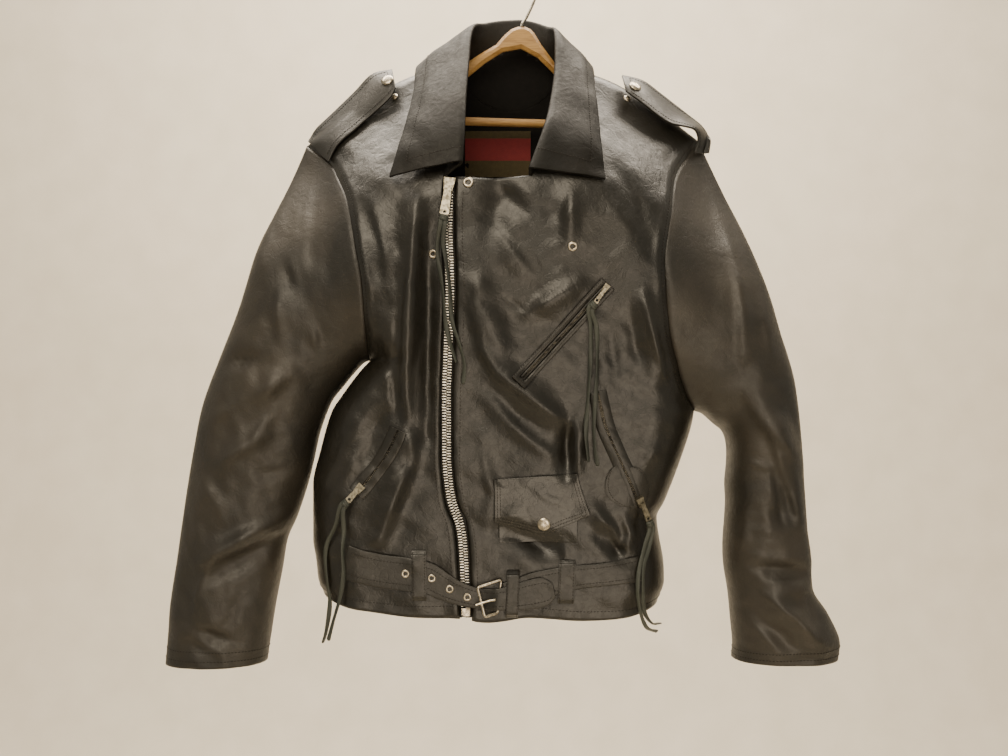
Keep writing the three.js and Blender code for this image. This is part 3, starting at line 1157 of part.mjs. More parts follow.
for (const [side, { x, z, off }] of Object.entries(SHOULDER_STUDS)) {
  const { position, quaternion } = seat(x, z, 0, off);
  add(`shoulder_stud_${side}`, snapGeometry('stud', 4.5), NICKEL, position, quaternion);
}

// ---------------------------------------------------------------- neck label
const LABEL = { left: -68, right: 12, low: -246, high: -190, thickness: 0.8 };
const labelGrid = (inward) => Array.from({ length: 7 }, (_, i) => Array.from({ length: 5 }, (__, j) => {
  const x = mix(LABEL.left, LABEL.right, i / 6);
  const z = mix(LABEL.low, LABEL.high, j / 4);
  return new THREE.Vector3(x, backY(x, z) - LEATHER - 1.1 - inward, z);
}));
add('neck_label', between(labelGrid(LABEL.thickness), labelGrid(0), false), LABEL_OLIVE);

// ---------------------------------------------------------------- thongs
// Free leather thongs in pairs, from the end of each tab to a loose end; side tells which half
// of the tab's end each leaves. off is the distance of the centre line from the front.
const THONGS = {
  thong_main_a: { pull: 'main', side: 1, route: [[-92.5, -342, 7], [-93, -356, 4.5], [-90, -376, 4],
    [-87, -400, 4], [-85, -425, 4], [-81, -447, 4], [-72.5, -474, 4]] },
  thong_main_b: { pull: 'main', side: -1, route: [[-86.5, -343, 8], [-84, -360, 6], [-80.5, -385, 5],
    [-77, -430, 4.5], [-70, -452, 4], [-64, -476, 4], [-65.5, -498, 4]] },
  thong_chest_a: { pull: 'chest', side: 1, route: [[74.5, -434, 6], [74.5, -470, 4.5], [73, -500, 4],
    [71, -530, 4], [70, -552, 4], [73, -584, 4]] },
  thong_chest_b: { pull: 'chest', side: -1, route: [[80.5, -434, 6.5], [82, -480, 4.5], [80, -515, 7],
    [78.5, -545, 7], [80, -570, 7], [83, -588, 6]] },
  thong_left_a: { pull: 'left', side: 1, route: [[137, -676, 10], [129, -706, 8.5], [127.5, -728, 9],
    [131, -750, 9], [139, -770, 4], [156, -783, -2]] },
  thong_left_b: { pull: 'left', side: -1, route: [[142, -678, 10], [135, -700, 9], [134, -724, 9],
    [136.5, -752, 6], [146, -768, 0], [163, -779, -6]] },
  thong_right_a: { pull: 'right', side: 1, route: [[-207, -654, 6.5], [-218, -676, 4], [-221, -692, 4],
    [-219, -722, 4], [-217, -744, 4], [-222, -778, 6], [-227, -793, 8]] },
  thong_right_b: { pull: 'right', side: -1, route: [[-197.5, -662, 6], [-199, -682, 7.5],
    [-198, -708, 8.5], [-202, -732, 8], [-211, -762, 10], [-218, -786, 12]] },
};
const THONG_START = 0.6;      // below the end of the tab
const THONG_LEAD = 8;         // runs on in the tab's direction
const KEEP_ABOVE_HEM = 4;
for (const [name, { pull, side, route }] of Object.entries(THONGS)) {
  const across = side * (THONG / 2 + 0.3);
  const points = [tabEnds[pull](across, THONG_START), tabEnds[pull](across, THONG_LEAD)];
  for (const [x, z, off] of route) {
    const onPanel = Math.max(z, hemAt(x, 'z') + KEEP_ABOVE_HEM);
    points.push(new THREE.Vector3(x, frontY(x, onPanel) - off, z));
  }
  add(name, tube(points, THONG / 2, 14, 8), THONG_BLACK);
}

export default group;
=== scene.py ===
"""Black faux leather biker jacket on a wooden hanger, built round its CAD frame.

Sizes in the classes are millimetres. The jacket's front faces -Y, the wearer's left is +X and the
origin is the inner crown of the hanger's hook.
"""
import logging
import math
from dataclasses import dataclass
from enum import Enum
from pathlib import Path as FilePath
from typing import Callable, Optional, Sequence

import bmesh
import bpy
import numpy as np
from mathutils import Matrix, Vector


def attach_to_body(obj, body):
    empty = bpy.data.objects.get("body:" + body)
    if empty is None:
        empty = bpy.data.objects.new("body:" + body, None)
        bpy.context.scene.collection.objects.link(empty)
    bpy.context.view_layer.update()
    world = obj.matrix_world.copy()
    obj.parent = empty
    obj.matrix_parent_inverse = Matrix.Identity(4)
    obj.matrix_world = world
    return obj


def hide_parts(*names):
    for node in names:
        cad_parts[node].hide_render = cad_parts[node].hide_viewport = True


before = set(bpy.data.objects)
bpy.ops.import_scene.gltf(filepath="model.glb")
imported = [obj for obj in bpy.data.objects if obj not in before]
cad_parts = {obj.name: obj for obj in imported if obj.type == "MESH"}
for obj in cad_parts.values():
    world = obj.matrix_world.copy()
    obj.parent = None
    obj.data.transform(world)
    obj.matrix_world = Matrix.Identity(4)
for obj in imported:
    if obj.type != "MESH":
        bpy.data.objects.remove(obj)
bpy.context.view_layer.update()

MM = 0.001
LAID = 0.9           # gap under whatever lies on a panel
STITCH_RISE = 0.2    # height of a stitch's middle over its leather
LEAST_SHARE = 0.31
LOG = logging.getLogger("jacket")
Array = np.ndarray


class Side(Enum):
    """Side of the jacket as its wearer has it, with the sign of x that points outward."""

    RIGHT = -1
    LEFT = 1


# ---------------------------------------------------------------- small maths
class Table:
    """Smooth lookup of columns against a key; a column never overshoots between its rows."""

    def __init__(self, rows: Sequence[Sequence[float]]) -> None:
        """Sorts the rows and settles the slope at each.

        Args:
            rows: The key, then the columns.
        """
        data = np.array(sorted(tuple(row) for row in rows), float)
        self.keys = data[:, 0]
        self.values = data[:, 1:]
        before = np.vstack([data[:1], data[:-1]])
        after = np.vstack([data[1:], data[-1:]])
        rise = (after[:, 1:] - self.values) * (self.values - before[:, 1:])
        slopes = (after[:, 1:] - before[:, 1:]) / (after[:, :1] - before[:, :1])
        turning = rise <= 0
        turning[[0, -1]] = False
        self.slopes = np.where(turning, 0.0, slopes)

    def at(self, key: Array, column: int = 0) -> Array:
        """Looks up one column.

        Args:
            key: Where to look.
            column: Which column, from 0.

        Returns:
            The column's values at those keys.
        """
        key = np.clip(np.asarray(key, float), self.keys[0], self.keys[-1])
        i = np.clip(np.searchsorted(self.keys, key, side="left") - 1, 0, len(self.keys) - 2)
        span = self.keys[i + 1] - self.keys[i]
        t = (key - self.keys[i]) / span
        low, high = self.values[i, column], self.values[i + 1, column]
        bend = (1 - t) * self.slopes[i, column] - t * self.slopes[i + 1, column]
        return low + (high - low) * ease(t) + span * t * (1 - t) * bend


class Path:
    """Smooth curve through points in any number of dimensions."""

    def __init__(self, points: Sequence[Sequence[float]], centripetal: bool = True) -> None:
        """Keeps the points, with one more beyond each end.

        Args:
            points: What the curve passes through.
            centripetal: Spaces the curve by the distances between its points.
        """
        p = np.array(points, float)
        self.count = len(p)
        self.centripetal = centripetal
        self.padded = np.vstack([2 * p[0] - p[1], p, 2 * p[-1] - p[-2]])
        self.fine = np.linspace(0, 1, 40 * (self.count - 1) + 1)
        steps = np.linalg.norm(np.diff(self.at(self.fine), axis=0), axis=1)
        self.travel = np.concatenate([[0.0], np.cumsum(steps)])

    def at(self, t: Array) -> Array:
        """Finds points by share of the spans.

        Args:
            t: From 0 to 1.

        Returns:
            The points, with one more axis than t.
        """
        place = np.clip(np.asarray(t, float), 0, 1) * (self.count - 1)
        i = np.minimum(place.astype(int), self.count - 2)
        w = (place - i)[..., None]
        p0, p1, p2, p3 = (self.padded[i + k] for k in range(4))
        if self.centripetal:
            d0, d1, d2 = (np.maximum(np.linalg.norm(b - a, axis=-1, keepdims=True), 1e-6) ** 0.5
                          for a, b in ((p0, p1), (p1, p2), (p2, p3)))
            m1 = ((p1 - p0) / d0 - (p2 - p0) / (d0 + d1) + (p2 - p1) / d1) * d1
            m2 = ((p2 - p1) / d1 - (p3 - p1) / (d1 + d2) + (p3 - p2) / d2) * d1
        else:
            m1, m2 = 0.5 * (p2 - p0), 0.5 * (p3 - p1)
        cubic = 2 * p1 - 2 * p2 + m1 + m2
        square = -3 * p1 + 3 * p2 - 2 * m1 - m2
        return p1 + w * (m1 + w * (square + w * cubic))

    def even(self, share: Array) -> Array:
        """Finds points by share of the length.

        Args:
            share: From 0 to 1.

        Returns:
            The points.
        """
        return self.at(np.interp(np.asarray(share) * self.travel[-1], self.travel, self.fine))

    @property
    def length(self) -> float:
        """Length of the whole curve."""
        return float(self.travel[-1])


def ease(t: Array) -> Array:
    """Eases a share in and out.

    Args:
        t: From 0 to 1.

    Returns:
        The eased share.
    """
    return t * t * (3 - 2 * t)


def mix(a: Array, b: Array, t: Array) -> Array:
    """Blends two values.

    Args:
        a: The value at 0.
        b: The value at 1.
        t: The share.

    Returns:
        The blend.
    """
    return a + (b - a) * t


def arch(q: Array) -> Array:
    """Rises as a quarter circle.

    Args:
        q: From 0 to 1.

    Returns:
        The height, from 0 to 1.
    """
    return np.sqrt(np.maximum(0.0, 1 - (1 - np.clip(q, 0, 1)) ** 2))


def unit(vectors: Array) -> Array:
    """Scales vectors to length one.

    Args:
        vectors: The vectors, on the last axis.

    Returns:
        The unit vectors.
    """
    return vectors / np.maximum(np.linalg.norm(vectors, axis=-1, keepdims=True), 1e-9)


def grid_normals(points: Array, wraps: bool = False) -> Array:
    """Finds a grid's normals by differences.

    Args:
        points: Columns by rows by three.
        wraps: The last column lies on the first.

    Returns:
        The unit normals.
    """
    across = np.gradient(points, axis=0)
    if wraps:
        across[0] = across[-1] = points[1] - points[-2]
    return unit(np.cross(across, np.gradient(points, axis=1)))


@dataclass(frozen=True)
class Crease:
    """Soft ridge or trough along a line of points (x, z); bias makes one flank the steeper."""

    points: tuple[tuple[float, float], ...]
    width: float
    lift: float
    bias: float = 0.0
    ends: float = 0.35

    def at(self, x: Array, z: Array) -> Array:
        """Finds the crease's height.

        Args:
            x: Where to look.
            z: Where to look.

        Returns:
            The height there, outward positive.
        """
        line = np.array(self.points, float)
        lengths = np.linalg.norm(np.diff(line, axis=0), axis=1)
        run = np.concatenate([[0.0], np.cumsum(lengths)]) / lengths.sum()
        best = np.full(np.shape(x), 1e9)
        side = np.zeros(np.shape(x))
        along = np.zeros(np.shape(x))
        for k, (start, end) in enumerate(zip(line[:-1], line[1:])):
            d = end - start
            t = np.clip(((x - start[0]) * d[0] + (z - start[1]) * d[1]) / (d @ d), 0, 1)
            away_x, away_z = x - start[0] - t * d[0], z - start[1] - t * d[1]
            away = np.hypot(away_x, away_z)
            nearer = away < best
            best = np.where(nearer, away, best)
            side = np.where(nearer, np.sign(away_z * d[0] - away_x * d[1]), side)
            along = np.where(nearer, mix(run[k], run[k + 1], t), along)
        taper = self.ends + (1 - self.ends) * np.sin(np.pi * along)
        return self.lift * 1.15 * taper * np.exp(-((best / (self.width * (1 + self.bias * side))) ** 2))


@dataclass(frozen=True)
class Ripple:
    """Slow uneven swell of worn leather: a few waves in seeded directions."""

    seed: int
    wave: float
    height: float
    count: int = 9

    def at(self, x: Array, z: Array) -> Array:
        """Finds the swell's height.

        Args:
            x: Where to look.
            z: Where to look.

        Returns:
            The height there.
        """
        chance = np.random.default_rng(self.seed)
        total = np.zeros(np.broadcast(x, z).shape)
        for _ in range(self.count):
            angle, phase = chance.uniform(0, math.tau), chance.uniform(0, math.tau)
            stretch = chance.uniform(0.6, 1.6)
            step = math.tau / (self.wave * stretch)
            total = total + np.sin(step * (x * math.cos(angle) + z * math.sin(angle)) + phase)
        return self.height * total / math.sqrt(self.count)


def heights(parts: Sequence, x: Array, z: Array) -> Array:
    """Sums creases and ripples.

    Args:
        parts: The creases and ripples.
        x: Where to look.
        z: Where to look.

    Returns:
        The summed height.
    """
    return sum((part.at(x, z) for part in parts), np.zeros(np.broadcast(x, z).shape))


def fold(x0: float, z0: float, x1: float, z1: float, width: float, lift: float) -> Crease:
    """Makes one of the large folds that the solids have too.

    Args:
        x0: Start.
        z0: Start.
        x1: End.
        z1: End.
        width: Half-width of the fold.
        lift: Height of the fold, outward positive.

    Returns:
        The fold.
    """
    return Crease(((x0, z0), (x1, z1)), width, lift, 0.0, 0.45)


# ---------------------------------------------------------------- meshes
Outward = Optional[tuple[float, float, float]]


def grid_object(name: str, points: Array, finish: bpy.types.Material, *, thickness: float = 0.0,
                offset: float = -1.0, wraps: bool = False, outward: Outward = None,
                edge: float = 0.0, lining_and_shade: Optional[bpy.types.Material] = None) -> bpy.types.Object:
    """Makes a shell from a grid of points.

    Args:
        name: Name of the piece.
        points: Columns by rows by three, in mm.
        finish: Its material.
        thickness: Wall, in mm; none leaves a bare surface.
        offset: Where the wall lies, from -1 inward to 1 outward.
        wraps: The last column lies on the first.
        outward: A direction that the faces look to; none for away from the middle.
        edge: Rounding of the wall's rim, in mm.
        lining_and_shade: Material of the wall's inner side, the near-black lining whose colour is partly painted shade;
            none for the same.

    Returns:
        The piece.
    """
    columns, rows = points.shape[:2]
    bm = bmesh.new()
    bmesh.ops.create_grid(bm, x_segments=columns - 1, y_segments=rows - 1, size=0.5)
    for vertex in bm.verts:
        i = round((vertex.co.x + 0.5) * (columns - 1))
        j = round((vertex.co.y + 0.5) * (rows - 1))
        vertex.co = Vector(points[i, j] * MM)
    if wraps:
        bmesh.ops.remove_doubles(bm, verts=bm.verts, dist=2e-5)
    bm.normal_update()
    middle = Vector(points.reshape(-1, 3).mean(axis=0) * MM)
    if outward is None:
        facing = sum(f.normal.dot(f.calc_center_median() - middle) * f.calc_area() for f in bm.faces)
    else:
        facing = sum(f.normal.dot(Vector(outward)) * f.calc_area() for f in bm.faces)
    if facing < 0:
        bmesh.ops.reverse_faces(bm, faces=bm.faces)
    piece = object_from(name, bm, finish)
    if thickness:
        wall = piece.modifiers.new("wall", "SOLIDIFY")
        wall.thickness = thickness * MM
        wall.offset = offset
        if lining_and_shade:
            piece.data.materials.append(lining_and_shade)
            wall.material_offset = 1
    if edge:
        round_rim(piece, edge, 50)
    return piece


def round_rim(piece: bpy.types.Object, width: float, angle: float) -> None:
    """Rounds a piece's sharp rims.

    Args:
        piece: The piece.
        width: Width of the rounding, in mm.
        angle: Least angle of a rim that is rounded, in degrees.
    """
    rim = piece.modifiers.new("rim", "BEVEL")
    rim.width = width * MM
    rim.segments = 3
    rim.limit_method = "ANGLE"
    rim.angle_limit = math.radians(angle)


def object_from(name: str, bm: bmesh.types.BMesh, finish: bpy.types.Material) -> bpy.types.Object:
    """Makes an object of a bmesh and frees it.

    Args:
        name: Name of the piece.
        bm: Its mesh.
        finish: Its material.

    Returns:
        The piece, shaded smooth.
    """
    mesh = bpy.data.meshes.new(name)
    bm.to_mesh(mesh)
    bm.free()
    mesh.shade_smooth()
    return link_mesh(name, mesh, finish)


def link_mesh(name: str, mesh: bpy.types.Mesh, finish: bpy.types.Material) -> bpy.types.Object:
    """Links an object of a mesh into the scene.

    Args:
        name: Name of the piece.
        mesh: Its mesh.
        finish: Its material.

    Returns:
        The piece.
    """
    mesh.materials.append(finish)
    piece = bpy.data.objects.new(name, mesh)
    bpy.context.scene.collection.objects.link(piece)
    return piece


def copies_object(name: str, template: bmesh.types.BMesh, places: Array, finish: bpy.types.Material,
                  smooth: bool = True) -> bpy.types.Object:
    """Repeats one small shape at many places in one mesh.

    Args:
        name: Name of the piece.
        template: The shape, in mm; it is freed.
        places: Matrices, three by four each, in mm.
        finish: Its material.
        smooth: Shades it smooth.

    Returns:
        The piece.
    """
    template.verts.ensure_lookup_table()
    corners = np.array([[*v.co, 1.0] for v in template.verts])
    faces = [[v.index for v in f.verts] for f in template.faces]
    template.free()
    moved = np.einsum("kij,nj->kni", places, corners).reshape(-1, 3) * MM
    step = len(corners)
    all_faces = [[index + k * step for index in face] for k in range(len(places)) for face in faces]
    mesh = bpy.data.meshes.new(name)
    mesh.from_pydata(moved.tolist(), [], all_faces)
    mesh.update()
    if smooth:
        mesh.shade_smooth()
    return link_mesh(name, mesh, finish)


def frames_along(line: Array, normals: Array, spacing: float, start: float = 0.0) -> Array:
    """Spaces frames evenly along a line that lies on a surface.

    Args:
        line: Points of the line.
        normals: The surface's outward normals at them.
        spacing: Distance between frames.
        start: Distance of the first from the line's start.

    Returns:
        Matrices, three by four: x across, y along the line, z outward, then the place.
    """
    steps = np.linalg.norm(np.diff(line, axis=0), axis=1)
    travel = np.concatenate([[0.0], np.cumsum(steps)])
    stops = np.arange(start, travel[-1], spacing)
    at = np.stack([np.interp(stops, travel, line[:, k]) for k in range(3)], axis=1)
    up = unit(np.stack([np.interp(stops, travel, normals[:, k]) for k in range(3)], axis=1))
    ahead = np.stack([np.interp(stops + 0.5, travel, line[:, k]) for k in range(3)], axis=1)
    behind = np.stack([np.interp(stops - 0.5, travel, line[:, k]) for k in range(3)], axis=1)
    along = unit(ahead - behind)
    up = unit(up - along * np.sum(along * up, axis=1, keepdims=True))
    return np.stack([np.cross(along, up), along, up, at], axis=2)


def beside(line: Array, tangent: Array, away: Array) -> tuple[Array, Array]:
    """Places points beside a line (x, z).

    Args:
        line: Points of the line.
        tangent: Its unit directions.
        away: Distances to the line's right, as columns.

    Returns:
        x and z, points of the line by columns.
    """
    return line[:, :1] - tangent[:, 1:] * away, line[:, 1:] + tangent[:, :1] * away


def ribbon_tube(line: Array, wide: Array, half: Array, thick: Array, sides: int = 12) -> Array:
    """Sweeps an oval section along a line.

    Args:
        line: Points of the centre line.
        wide: Direction of the section's long axis at each.
        half: Half the long axis at each.
        thick: Half the short axis at each.
        sides: Points round the section.

    Returns:
        A wrapping grid, columns round the section.
    """
    along = unit(np.gradient(line, axis=0))
    wide = unit(wide - along * np.sum(wide * along, axis=1, keepdims=True))
    deep = np.cross(along, wide)
    turn = np.linspace(0, math.tau, sides + 1)[:, None, None]
    return line + np.cos(turn) * wide * half[:, None] + np.sin(turn) * deep * thick[:, None]


# ---------------------------------------------------------------- materials
def linear(code: int) -> tuple[float, float, float, float]:
    """Turns a screen colour into scene light.

    Args:
        code: The colour as 0xRRGGBB.

    Returns:
        Red, green, blue and one.
    """
    parts = ((code >> shift & 255) / 255 for shift in (16, 8, 0))
    red, green, blue = (c / 12.92 if c <= 0.04045 else ((c + 0.055) / 1.055) ** 2.4 for c in parts)
    return red, green, blue, 1.0


class Nodes:
    """A new material's node tree, with the object's own coordinates at hand."""

    def __init__(self, name: str) -> None:
        """Starts the material.

        Args:
            name: Name of the material.
        """
        self.material = bpy.data.materials.new(name)
        self.material.use_nodes = True
        self.tree = self.material.node_tree
        self.shader = self.tree.nodes["Principled BSDF"]
        self.place = self.add("ShaderNodeTexCoord").outputs["Object"]

    def add(self, kind: str, links: Optional[dict] = None, **settings: object) -> bpy.types.Node:
        """Adds a node.

        Args:
            kind: The node's type.
            links: Sockets or values by input name or number.
            settings: Properties of the node.

        Returns:
            The node.
        """
        node = self.tree.nodes.new(kind)
        for key, value in settings.items():
            setattr(node, key, value)
        for key, value in (links or {}).items():
            self.put(node.inputs[key], value)
        return node

    def put(self, socket: bpy.types.NodeSocket, value: object) -> None:
        """Links or sets one input.

        Args:
            socket: The input.
            value: An output to link, or a value.
        """
        if isinstance(value, bpy.types.NodeSocket):
            self.tree.links.new(value, socket)
        else:
            socket.default_value = value

    def noise(self, size: float, detail: float = 3.0, twist: float = 0.0,
              stretch: tuple[float, float, float] = (1, 1, 1)) -> bpy.types.NodeSocket:
        """Adds noise of a real size.

        Args:
            size: Size of its lumps, in mm.
            detail: Octaves.
            twist: Distortion.
            stretch: Scale of the coordinates by axis.

        Returns:
            Its value.
        """
        moved = self.add("ShaderNodeMapping", {"Vector": self.place, "Scale": stretch})
        links = {"Vector": moved.outputs[0], "Scale": 1 / (size * MM), "Detail": detail, "Distortion": twist}
        return self.add("ShaderNodeTexNoise", links).outputs["Fac"]

    def ramp(self, value: bpy.types.NodeSocket, *stops: tuple[float, int]) -> bpy.types.NodeSocket:
        """Adds a colour ramp.

        Args:
            value: What it reads.
            stops: Places and screen colours.

        Returns:
            Its colour.
        """
        node = self.add("ShaderNodeValToRGB", {"Fac": value})
        band = node.color_ramp.elements
        while len(band) < len(stops):
            band.new(0.5)
        for element, (where, code) in zip(band, stops):
            element.position = where
            element.color = linear(code)
        return node.outputs["Color"]

    def span(self, value: bpy.types.NodeSocket, low: float, high: float, begin: float = 0.3,
             end: float = 0.7) -> bpy.types.NodeSocket:
        """Maps a value to a range.

        Args:
            value: What it reads.
            low: Result at begin.
            high: Result at end.
            begin: Where the range starts.
            end: Where it ends.

        Returns:
            The mapped value.
        """
        links = {"Value": value, "From Min": begin, "From Max": end, "To Min": low, "To Max": high}
        return self.add("ShaderNodeMapRange", links).outputs[0]

    def bump(self, height: bpy.types.NodeSocket, depth: float, under: Optional[bpy.types.NodeSocket] = None,
             strength: float = 1.0) -> bpy.types.NodeSocket:
        """Adds relief of a real depth.

        Args:
            height: From 0 to 1.
            depth: Depth in mm.
            under: Relief it lies on.
            strength: Share of the effect.

        Returns:
            The normal.
        """
        links: dict = {"Height": height, "Distance": depth * MM, "Strength": strength}
        if under is not None:
            links["Normal"] = under
        return self.add("ShaderNodeBump", links).outputs["Normal"]

    def finish(self, **inputs: object) -> bpy.types.Material:
        """Sets the shader.

        Args:
            inputs: Values or outputs by input name, spaces as underscores.

        Returns:
            The material.
        """
        for key, value in inputs.items():
            self.put(self.shader.inputs[key.replace("_", " ")], value)
        return self.material


@dataclass(frozen=True)
class Leather:
    """Polyurethane-coated split or faux leather: pebbled skin over a soft base, its tone blotched at random."""

    name: str
    deep: int = 0x100F0A
    worn: int = 0x1E1B14
    rough: tuple[float, float] = (0.33, 0.46)
    grain: float = 1.3
    wrinkle: float = 0.42
    coat: float = 0.15
    gloss: float = 0.55

    def make(self) -> bpy.types.Material:
        """Builds the material.

        Returns:
            The material.
        """
        nodes = Nodes(self.name)
        blotch = nodes.noise(90, 3, 0.3)
        fine = nodes.noise(7, 5, 1.2)
        cells = nodes.add("ShaderNodeTexVoronoi", {"Vector": nodes.place, "Scale": 1 / (self.grain * MM)},
                          feature="SMOOTH_F1").outputs["Distance"]
        lines = nodes.add("ShaderNodeTexVoronoi", {
            "Vector": nodes.add("ShaderNodeMixRGB", {
                "Fac": 0.006, "Color1": nodes.place,
                "Color2": nodes.add("ShaderNodeTexNoise", {"Vector": nodes.place, "Scale": 70.0}).outputs["Color"],
            }).outputs[0], "Scale": 1 / (9 * MM)}, feature="DISTANCE_TO_EDGE").outputs["Distance"]
        skin = nodes.bump(cells, 0.10, strength=0.45)
        cracks = nodes.bump(nodes.span(lines, 0.0, 1.0, 0.0, 0.08), 0.16, skin, 0.35)
        rumple = nodes.bump(nodes.noise(16, 4, 1.6), self.wrinkle * 2.2, cracks, 0.55)
        colour = nodes.ramp(blotch, (0.3, self.deep), (0.72, self.worn))
        rough = nodes.span(fine, self.rough[0], self.rough[1], 0.35, 0.65)
        return nodes.finish(Base_Color=colour, Roughness=rough, Normal=rumple, Coat_Weight=self.coat,
                            Coat_Roughness=0.3, Coat_Normal=rumple, Specular_IOR_Level=self.gloss)


@dataclass(frozen=True)
class Plated:
    """Nickel-plated zinc or steel, rubbed dull in places."""

    name: str
    bright: int = 0xCFC6B4
    dull: int = 0x8C8372
    rough: tuple[float, float] = (0.18, 0.42)

    def make(self) -> bpy.types.Material:
        """Builds the material.

        Returns:
            The material.
        """
        nodes = Nodes(self.name)
        rub = nodes.noise(3.5, 4, 0.4)
        colour = nodes.ramp(rub, (0.35, self.dull), (0.6, self.bright))
        scratch = nodes.bump(nodes.noise(0.8, 3), 0.03, strength=0.3)
        return nodes.finish(Base_Color=colour, Metallic=1.0, Normal=scratch,
                            Roughness=nodes.span(rub, self.rough[1], self.rough[0]))


@dataclass(frozen=True)
class Woven:
    """Woven polyester: zip tape or label cloth."""

    name: str
    dark: int
    light: int
    pitch: float = 0.5
    stripe: Optional[tuple[float, float, int]] = None

    def make(self) -> bpy.types.Material:
        """Builds the material.

        Returns:
            The material.
        """
        nodes = Nodes(self.name)
        waves = [nodes.add("ShaderNodeTexWave", {"Vector": nodes.place, "Scale": 0.31 / (self.pitch * MM),
                                                 "Distortion": 0.4}, bands_direction=axis).outputs["Fac"]
                 for axis in ("X", "Z")]
        weave = nodes.add("ShaderNodeMath", {0: waves[0], 1: waves[1]}, operation="MULTIPLY").outputs[0]
        tone = nodes.add("ShaderNodeMath", {0: weave, 1: nodes.noise(5, 3)}, operation="MULTIPLY").outputs[0]
        colour = nodes.ramp(tone, (0.05, self.dark), (0.5, self.light))
        if self.stripe:
            low, high, code = self.stripe
            height = nodes.add("ShaderNodeSeparateXYZ", {0: nodes.place}).outputs[2]
            over = nodes.add("ShaderNodeMath", {0: height, 1: low * MM}, operation="GREATER_THAN").outputs[0]
            under = nodes.add("ShaderNodeMath", {0: height, 1: high * MM}, operation="LESS_THAN").outputs[0]
            inside = nodes.add("ShaderNodeMath", {0: over, 1: under}, operation="MULTIPLY").outputs[0]
            red = nodes.ramp(tone, (0.05, code), (0.6, 0x97302C))
            colour = nodes.add("ShaderNodeMixRGB", {"Fac": inside, "Color1": colour, "Color2": red}).outputs[0]
        return nodes.finish(Base_Color=colour, Roughness=0.85, Normal=nodes.bump(weave, 0.12, strength=0.7),
                            Sheen_Weight=0.2)


@dataclass(frozen=True)
class Wood:
    """Clear-varnished beech, its grain along the hanger's arms."""

    name: str
    light: int = 0xB38B4E
    dark: int = 0x8F6730

    def make(self) -> bpy.types.Material:
        """Builds the material.

        Returns:
            The material.
        """
        nodes = Nodes(self.name)
        figure = nodes.noise(14, 5, 0.8, (0.12, 1.0, 1.0))
        pores = nodes.noise(1.2, 3, 0.0, (0.08, 1.0, 1.0))
        both = nodes.add("ShaderNodeMath", {0: figure, 1: pores}, operation="ADD").outputs[0]
        half = nodes.add("ShaderNodeMath", {0: both, 1: 0.5}, operation="MULTIPLY").outputs[0]
        colour = nodes.ramp(half, (0.38, self.dark), (0.58, self.light))
        return nodes.finish(Base_Color=colour, Roughness=nodes.span(figure, 0.45, 0.6), Coat_Weight=0.15,
                            Coat_Roughness=0.35, Normal=nodes.bump(pores, 0.05, strength=0.4))


@dataclass(frozen=True)
class Plain:
    """Matt painted board or bonded thread, barely mottled."""

    name: str
    tone: int
    other: int
    size: float = 120.0
    rough: float = 0.8

    def make(self) -> bpy.types.Material:
        """Builds the material.

        Returns:
            The material.
        """
        nodes = Nodes(self.name)
        mottle = nodes.noise(self.size, 3)
        return nodes.finish(Base_Color=nodes.ramp(mottle, (0.3, self.tone), (0.7, self.other)),
                            Roughness=self.rough, Specular_IOR_Level=0.3)


class Finishes:
    """Every material of the jacket, made once."""

    def __init__(self) -> None:
        """Makes the materials."""
        self.body = Leather("leather_body_coated").make()
        # Sleeve leather lightened as painted sheen, and rougher than the body's.
        self.sleeve = Leather("leather_sleeve_painted_sheen", 0x1B1914, 0x363129, (0.46, 0.58), 1.2, 0.42, 0.06).make()
        self.trim = Leather("leather_trim_smooth", 0x12110C, 0x211E17, (0.36, 0.48), 1.0, 0.2, 0.12).make()
        # Collar leather darkened as painted shade where the light falls hot on it; also rougher and without coat.
        self.collar = Leather("leather_collar_dull_painted_shade", 0x0D0C08, 0x181510, (0.5, 0.62), 1.1, 0.5, 0.0, 0.3).make()
        # Near-black lining for the panels' inner sides; its colour is partly painted shade, and the collar's stand
        # takes it as painted shade.
        self.lining_and_shade = Plain("lining_black_and_painted_shade", 0x060504, 0x0D0B09, 6.0, 0.95).make()
        self.flap = Leather("leather_flap_polished", 0x12110B, 0x221F17, (0.24, 0.36), 1.1, 0.3, 0.35).make()
        self.thong = Leather("leather_thong_matt", 0x262A25, 0x3F433B, (0.55, 0.7), 0.8, 0.1, 0.05).make()
        self.thread = Plain("thread_bonded_nylon", 0x17140F, 0x2B2620, 4, 0.6).make()
        self.nickel = Plated("nickel_plate").make()
        self.teeth = Plated("nickel_zip_teeth", 0xE4E0D6, 0x98938A, (0.2, 0.38)).make()
        self.dark_teeth = Plated("blackened_zip_teeth", 0x6E695F, 0x2A2825, (0.3, 0.5)).make()
        self.pull = Plated("nickel_pull_tumbled", 0xA39D8C, 0x6E695C, (0.34, 0.5)).make()
        self.wire = Plated("steel_hook_wire", 0xB9B4AA, 0x8A857C, (0.15, 0.32)).make()
        self.tape = Woven("polyester_zip_tape", 0x0D0C0B, 0x24211E).make()
        self.label = Woven("woven_label", 0x3A3119, 0x5F5230, 0.6, (-226, -199, 0x6B1B20)).make()
        self.wood = Wood("varnished_beech").make()


def attach(piece: bpy.types.Object, slot: str, *nodes: str, body: str = "jacket") -> bpy.types.Object:
    """Hangs a piece on a body and hides the CAD nodes it replaces.

    Args:
        piece: The piece.
        slot: Not used.
        nodes: CAD nodes it replaces.
        body: The CAD body it rides on.

    Returns:
        The piece.
    """
    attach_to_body(piece, body)
    if nodes:
        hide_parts(*nodes)
    LOG.info("%s rides on %s", piece.name, body)
    return piece


